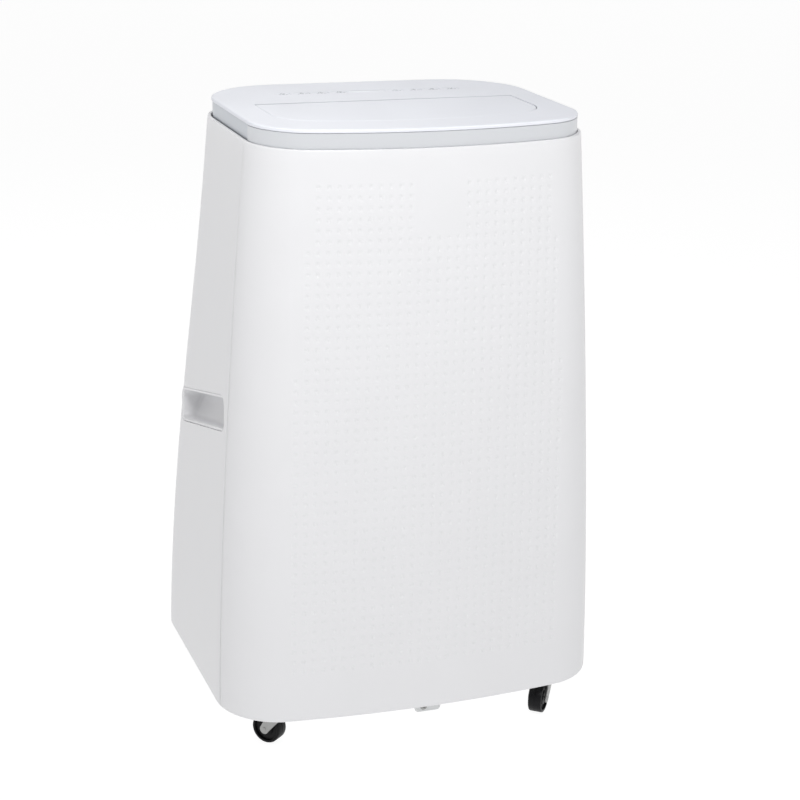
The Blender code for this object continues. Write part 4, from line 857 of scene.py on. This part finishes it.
for x in np.linspace(-0.15, 0.15, 7):
    parts.append(bar("floor_rib", (x - 0.001, -0.12, PAN_LOW + PAN_FLOOR - 0.0005),
                     (x + 0.001, 0.10, PAN_LOW + PAN_FLOOR + 0.0002), 0.0002, 1))
tray = joined("base_tray", *parts)
smooth(tray)
fit(tray, tray_white, "frame", "inner_plastic", "base_pan")

# ---- tab screw --------------------------------------------------------------
# A zinc-plated pan-head screw with a cross recess, through the front tab.
SCREW_HEAD = 0.0042
zinc = moulded("zinc_plate", (0.34, 0.34, 0.335), 0.38, 1.0, mottle=0.08, mottle_size=0.006,
               grain=0.00001, grain_size=0.0003)


def turned(name, profile, origin, axis, steps, closed=True):
    """A turned shape: (radius, height) points, closed into a ring or onto the axis."""
    profile = list(profile) + ([profile[0]] if closed else [])
    turn = Vector(axis).to_track_quat("Z", "Y").to_matrix().to_4x4()
    place = Matrix.Translation(origin) @ turn

    def point(column, row):
        radius, height = profile[row]
        angle = math.tau * column / steps
        return place @ Vector((radius * math.cos(angle), radius * math.sin(angle), height))

    piece = shaped_grid(name, steps, len(profile) - 1, point)
    close_up(piece)
    return piece


head_face = -TAB_FRONT - 0.0004
screw = turned("tab_screw_body", [
    (0.0, 0.0018), (SCREW_HEAD * 0.55, 0.0017), (SCREW_HEAD * 0.85, 0.0013),
    (SCREW_HEAD, 0.0005), (SCREW_HEAD, 0.0), (0.0014, 0.0), (0.0014, -0.0064), (0.0, -0.0064)],
    (0, head_face, screw_z), (0, -1, 0), 32, closed=False)
for wide, tall in ((0.0036, 0.0008), (0.0008, 0.0036)):
    cut_away(screw, bar("recess_cutter", (-wide / 2, head_face - 0.004, screw_z - tall / 2),
                        (wide / 2, head_face - 0.0008, screw_z + tall / 2), 0.0001, 1))
smooth(screw)
fit(screw, zinc, "frame", "steel", "tab_screw")

# ---- casters ----------------------------------------------------------------
# Each is a black plastic wheel on a riveted axle between the pointed legs of a
# zinc-plated steel fork, whose stem turns in the tray.
CROWN_LOW, CROWN_HIGH = 0.0402, 0.0428
CASTER_TRAIL = 0.016
WHEEL_RADIUS, WHEEL_WIDTH, HUB_RADIUS = 0.0190, 0.0170, 0.0085
FORK_WALL, FORK_GAP = 0.0024, 0.0010
LEG_HALF, LEG_TIP = 0.0105, 0.0060
AXLE_RADIUS, RIVET_RADIUS = 0.0020, 0.0030
wheel_black = moulded("black_nylon_wheel", (0.006, 0.006, 0.007), 0.42, mottle=0.10,
                      mottle_size=0.008, grain=0.00002, grain_size=0.0005, shine=0.15)
leg_side = WHEEL_WIDTH / 2 + FORK_GAP
axle_z = WHEEL_RADIUS - CROWN_HIGH
crown_mid = -(CROWN_HIGH - CROWN_LOW) / 2
tip = [(CASTER_TRAIL + LEG_TIP * math.cos(t), axle_z + LEG_TIP * math.sin(t))
       for t in np.radians(np.linspace(-158.0, 18.0, 14))]
leg_outline = [(-LEG_HALF, crown_mid)] + tip + [(LEG_HALF, crown_mid)]
for name, x, y, swivel in CASTERS:
    place = Matrix.Translation((x, y, CROWN_HIGH)) @ Matrix.Rotation(math.radians(swivel), 4, "Z")
    crown = turned("crown", [
        (0.0, 0.0), (0.0125, 0.0), (0.0134, -0.0006), (0.0143, -0.0016), (0.0145, -0.0026),
        (0.0, -0.0026)], (0, 0, 0), (0, 0, 1), 40, closed=False)
    stem = rod("stem", 0.0040, (0, 0, -0.001), (0, 0, 0.0190), 28, 0.0005)
    parts = [crown, stem]
    for near in (leg_side, -leg_side - FORK_WALL):
        leg = stacked("leg", [[Vector((a, b, h)) for a, b in leg_outline]
                              for h in (0.0, FORK_WALL)])
        placed(leg, Matrix.Translation((0, near + FORK_WALL, 0))
               @ Matrix.Rotation(math.pi / 2, 4, "X"))
        cut_away(leg, rod("axle_cutter", AXLE_RADIUS + 0.0003, (CASTER_TRAIL, -0.03, axle_z),
                          (CASTER_TRAIL, 0.03, axle_z), 24))
        ease_edges(leg, 0.0004)
        parts.append(leg)
    fork = placed(joined(f"{name}_fork_steel", *parts), place)
    smooth(fork)
    fit(fork, zinc, f"{name}_caster", "steel", f"{name}_fork")

    reach = leg_side + FORK_WALL
    axle = turned(f"{name}_axle_rivet", [
        (0.0, reach + 0.0006), (0.0022, reach + 0.0005), (RIVET_RADIUS, reach + 0.0002),
        (RIVET_RADIUS, reach), (AXLE_RADIUS, reach), (AXLE_RADIUS, -reach),
        (RIVET_RADIUS, -reach), (RIVET_RADIUS, -reach - 0.0002), (0.0022, -reach - 0.0005),
        (0.0, -reach - 0.0006)],
        (CASTER_TRAIL, 0, axle_z), (0, 1, 0), 24, closed=False)
    placed(axle, place)
    smooth(axle)
    fit(axle, zinc, f"{name}_caster", "steel", f"{name}_axle")

    edge = WHEEL_WIDTH / 2
    half = [(AXLE_RADIUS + 0.00035, edge - 0.0010), (AXLE_RADIUS + 0.0007, edge - 0.0008),
            (HUB_RADIUS - 0.0005, edge - 0.0008), (HUB_RADIUS, edge - 0.0012),
            (HUB_RADIUS + 0.0008, edge - 0.0028), (WHEEL_RADIUS - 0.0040, edge - 0.0028),
            (WHEEL_RADIUS - 0.0035, edge - 0.0004), (WHEEL_RADIUS - 0.0030, edge),
            (WHEEL_RADIUS - 0.0014, edge), (WHEEL_RADIUS - 0.0004, edge - 0.0005),
            (WHEEL_RADIUS, edge - 0.0015), (WHEEL_RADIUS, 0.0006),
            (WHEEL_RADIUS - 0.0003, 0.0003)]
    wheel = turned(f"{name}_wheel_tyre", half + [(r, -h) for r, h in reversed(half)],
                   (CASTER_TRAIL, 0, axle_z), (0, 1, 0), 56)
    placed(wheel, place)
    smooth(wheel)
    fit(wheel, wheel_black, f"{name}_wheel", "caster_tread", f"{name}_wheel")

# ---- intake grilles ---------------------------------------------------------
# Two pull-off panels in the rear wall, moulded in the shell's white, each with
# three columns of air slots and a framed black filter net behind them.
GRILLE_THICKNESS, GRILLE_SINK = 0.0040, 0.0010
FILTER_FRONT, FILTER_BACK = 0.0004, 0.0034   # behind the panel's back
SLOT_PITCH, SLOT_HEIGHT, SLOT_RIB, GRILLE_BORDER = 0.0120, 0.0075, 0.008, 0.012
filter_net = moulded("black_filter_net", (0.05, 0.055, 0.06), 0.75, mottle=0.10,
                     mottle_size=0.010, grain=0.00005, grain_size=0.0006)


def repeated(piece, count, step):
    finish_step(piece, "ARRAY", count=count, use_relative_offset=False,
                use_constant_offset=True, constant_offset_displace=step)


for word, z, height in GRILLES:
    spot = rear_spot(0, z, GRILLE_SINK)
    panel = rounded_slab(f"{word}_grille_panel", GRILLE_WIDTH, height, 0.0025,
                         -GRILLE_THICKNESS, 0.0, 4)
    count = int((height - 2 * GRILLE_BORDER) / SLOT_PITCH)
    wide = (GRILLE_WIDTH - 2 * GRILLE_BORDER - 2 * SLOT_RIB) / 3
    slots = rounded_slab("slot_cutter", wide, SLOT_HEIGHT, 0.0036, -0.01, 0.01, 5)
    placed(slots, Matrix.Translation((-wide - SLOT_RIB, -(count - 1) / 2 * SLOT_PITCH, 0)))
    repeated(slots, 3, (wide + SLOT_RIB, 0, 0))
    repeated(slots, count, (0, SLOT_PITCH, 0))
    cut_away(panel, slots)
    ease_edges(panel, 0.0006)
    placed(panel, spot)
    smooth(panel)
    fit(panel, shell_white, f"{word}_grille", "white_shell", f"{word}_intake_grille")

    low, high = -GRILLE_THICKNESS - FILTER_BACK, -GRILLE_THICKNESS - FILTER_FRONT
    rim = rounded_slab("filter_rim", GRILLE_WIDTH - 0.008, height - 0.008, 0.003, low, high, 4)
    cut_away(rim, rounded_slab("rim_cutter", GRILLE_WIDTH - 0.020, height - 0.020, 0.002,
                               -0.02, 0.02, 4))
    ease_edges(rim, 0.0004)
    bpy.ops.object.select_all(action="DESELECT")
    bpy.ops.mesh.primitive_grid_add(x_subdivisions=66, y_subdivisions=36, size=1.0)
    net = placed(bpy.context.object, Matrix.Translation((0, 0, (low + high) / 2))
                 @ Matrix.Diagonal((GRILLE_WIDTH - 0.018, height - 0.018, 1, 1)))
    finish_step(net, "WIREFRAME", thickness=0.0007, use_replace=True)
    screen = placed(joined(f"{word}_filter_screen", rim, net), spot)
    smooth(screen)
    fit(screen, filter_net, f"{word}_grille", "filter_mesh", f"{word}_filter")

# ---- exhaust collar ---------------------------------------------------------
# The round spigot that the warm air hose pushes onto, in white ABS, with a
# retaining bead near its lip and a finger guard across it.
COLLAR_BORE = 0.0660
GUARD_DEEP = 0.030                 # the finger guard, in from the lip
GUARD_WIDE, GUARD_THICK = 0.002, 0.003
collar_low, collar_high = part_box("exhaust_collar")
lip, foot = collar_high.y, collar_low.y
guard_y = lip - GUARD_DEEP
parts = [turned("collar_tube", [
    (COLLAR_BORE + 0.0004, lip), (COLLAR_OUTER - 0.0006, lip - 0.0002),
    (COLLAR_OUTER - 0.0002, lip - 0.0008), (COLLAR_OUTER - 0.0004, lip - 0.0050),
    (COLLAR_OUTER, lip - 0.0060), (COLLAR_OUTER, lip - 0.0080),
    (COLLAR_OUTER - 0.0005, lip - 0.0090), (COLLAR_OUTER - 0.0005, foot),
    (COLLAR_BORE, foot), (COLLAR_BORE, lip - 0.0004)],
    (0, 0, COLLAR_Z), (0, 1, 0), 96)]
for radius in (0.022, 0.044):
    parts.append(turned("guard_ring", [
        (radius, 0.0), (radius + GUARD_WIDE, 0.0), (radius + GUARD_WIDE, GUARD_THICK),
        (radius, GUARD_THICK)], (0, guard_y, COLLAR_Z), (0, 1, 0), 64))
for angle in np.radians(np.arange(0, 180, 45)):
    spoke = bar("guard_spoke", (-COLLAR_BORE - 0.0005, 0.0, -GUARD_WIDE / 2),
                (COLLAR_BORE + 0.0005, GUARD_THICK, GUARD_WIDE / 2), 0.0004)
    parts.append(placed(spoke, Matrix.Translation((0, guard_y, COLLAR_Z))
                        @ Matrix.Rotation(angle, 4, "Y")))
collar = joined("exhaust_spigot", *parts)
smooth(collar)
fit(collar, shell_white, "frame", "white_shell", "exhaust_collar")

# ---- drain plugs and cord gland ---------------------------------------------
# Black rubber bungs with a pull ridge close the two drains; a ribbed black
# gland shows where the mains cord leaves.
PLUG_HEAD, GLAND_HEAD, PLUG_LENGTH = 0.0125, 0.0130, 0.016
rubber = moulded("drain_rubber_black", (0.035, 0.035, 0.036), 0.72, mottle=0.12,
                 mottle_size=0.006, grain=0.00004, grain_size=0.0005)
for word, spot in (("upper", rear_spot(*UPPER_PLUG)), ("lower", rear_spot(*LOWER_PLUG))):
    bung = turned("bung", [
        (0.0, 0.0028), (0.0050, 0.0028), (0.0058, 0.0024), (PLUG_HEAD - 0.0016, 0.0028),
        (PLUG_HEAD - 0.0006, 0.0026), (PLUG_HEAD, 0.0020), (PLUG_HEAD, 0.0009),
        (PLUG_HEAD - 0.0003, 0.0006), (PLUG_RADIUS - 0.0002, 0.0006),
        (PLUG_RADIUS - 0.0002, -0.004), (PLUG_RADIUS, -0.005), (PLUG_RADIUS - 0.0006, -0.012),
        (PLUG_RADIUS - 0.0014, -PLUG_LENGTH), (0.0, -PLUG_LENGTH)],
        (0, 0, 0), (0, 0, 1), 40, closed=False)
    ridge = bar("pull_ridge", (-0.0085, -0.0010, 0.0020), (0.0085, 0.0010, 0.0036), 0.0006)
    piece = placed(joined(f"{word}_drain_bung", bung, ridge), spot)
    smooth(piece)
    fit(piece, rubber, f"{word}_drain", "drain_rubber", f"{word}_drain_plug")
black_abs = moulded("black_abs", (0.022, 0.022, 0.024), 0.42, mottle=0.08, mottle_size=0.01)
gland = turned("gland_body", [
    (0.0038, 0.0030), (0.0046, 0.0036), (0.0075, 0.0036), (0.0080, 0.0030),
    (GLAND_HEAD - 0.0010, 0.0030), (GLAND_HEAD, 0.0020), (GLAND_HEAD, 0.0008),
    (GLAND_HEAD - 0.0004, 0.0006), (PLUG_RADIUS, 0.0006), (PLUG_RADIUS, -PLUG_LENGTH),
    (0.0038, -PLUG_LENGTH)], (0, 0, 0), (0, 0, 1), 40)
parts = [gland]
for turn in np.arange(0, 360, 30):
    grip = bar("gland_grip", (GLAND_HEAD - 0.0022, -0.0006, 0.0012),
               (GLAND_HEAD - 0.0001, 0.0006, 0.0030), 0.0002, 1)
    parts.append(placed(grip, Matrix.Rotation(math.radians(float(turn)), 4, "Z")))
gland = placed(joined("gland_collar", *parts), rear_spot(*GLAND))
smooth(gland)
fit(gland, black_abs, "frame", "black_plastic", "cord_gland")

# ---- works inside -----------------------------------------------------------
# Two blowers in grey casings with steel motors, a finned coil above and below
# the steel deck, the compressor, its copper line, the electrics and the board.
zinc_sheet = moulded("zinc_coated_sheet", (0.36, 0.37, 0.385), 0.42, 0.75, mottle=0.14,
                     mottle_size=0.012, grain=0.00001)
fin_metal = moulded("aluminium_fins", (0.70, 0.71, 0.72), 0.36, 1.0, mottle=0.05,
                    mottle_size=0.02, grain=0.00002, grain_size=0.0004)
copper = moulded("copper_line", (0.70, 0.40, 0.27), 0.32, 1.0, mottle=0.10, mottle_size=0.01)
enamel = moulded("black_enamel", (0.025, 0.025, 0.028), 0.36, 0.1, mottle=0.10,
                 mottle_size=0.02, grain=0.00004, grain_size=0.0012)
board_green = moulded("board_lacquer", (0.035, 0.20, 0.085), 0.45, mottle=0.18,
                      mottle_size=0.004)
for node, name, finish, body, slot in (
        ("control_board", "key_board", board_green, "frame", "board_green"),
        ("mid_deck", "deck_sheet", zinc_sheet, "frame", "coated_steel"),
        ("electrics_box", "electrics_case", zinc_sheet, "frame", "coated_steel"),
        ("upper_scroll", "upper_fan_casing", duct_grey, "frame", "inner_plastic"),
        ("lower_scroll", "lower_fan_casing", duct_grey, "frame", "inner_plastic"),
        ("upper_fan_motor", "upper_motor_case", zinc_sheet, "frame", "coated_steel"),
        ("lower_fan_motor", "lower_motor_case", zinc_sheet, "frame", "coated_steel")):
    fit(eased_copy(node, name, 0.0005), finish, body, slot, node)
for node, finish in (("evaporator_coil", fin_metal), ("condenser_coil", fin_metal),
                     ("compressor", enamel), ("suction_tube", copper),
                     ("upper_blower_wheel", black_abs), ("lower_blower_wheel", black_abs)):
    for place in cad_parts[node].material_slots:
        place.material = finish
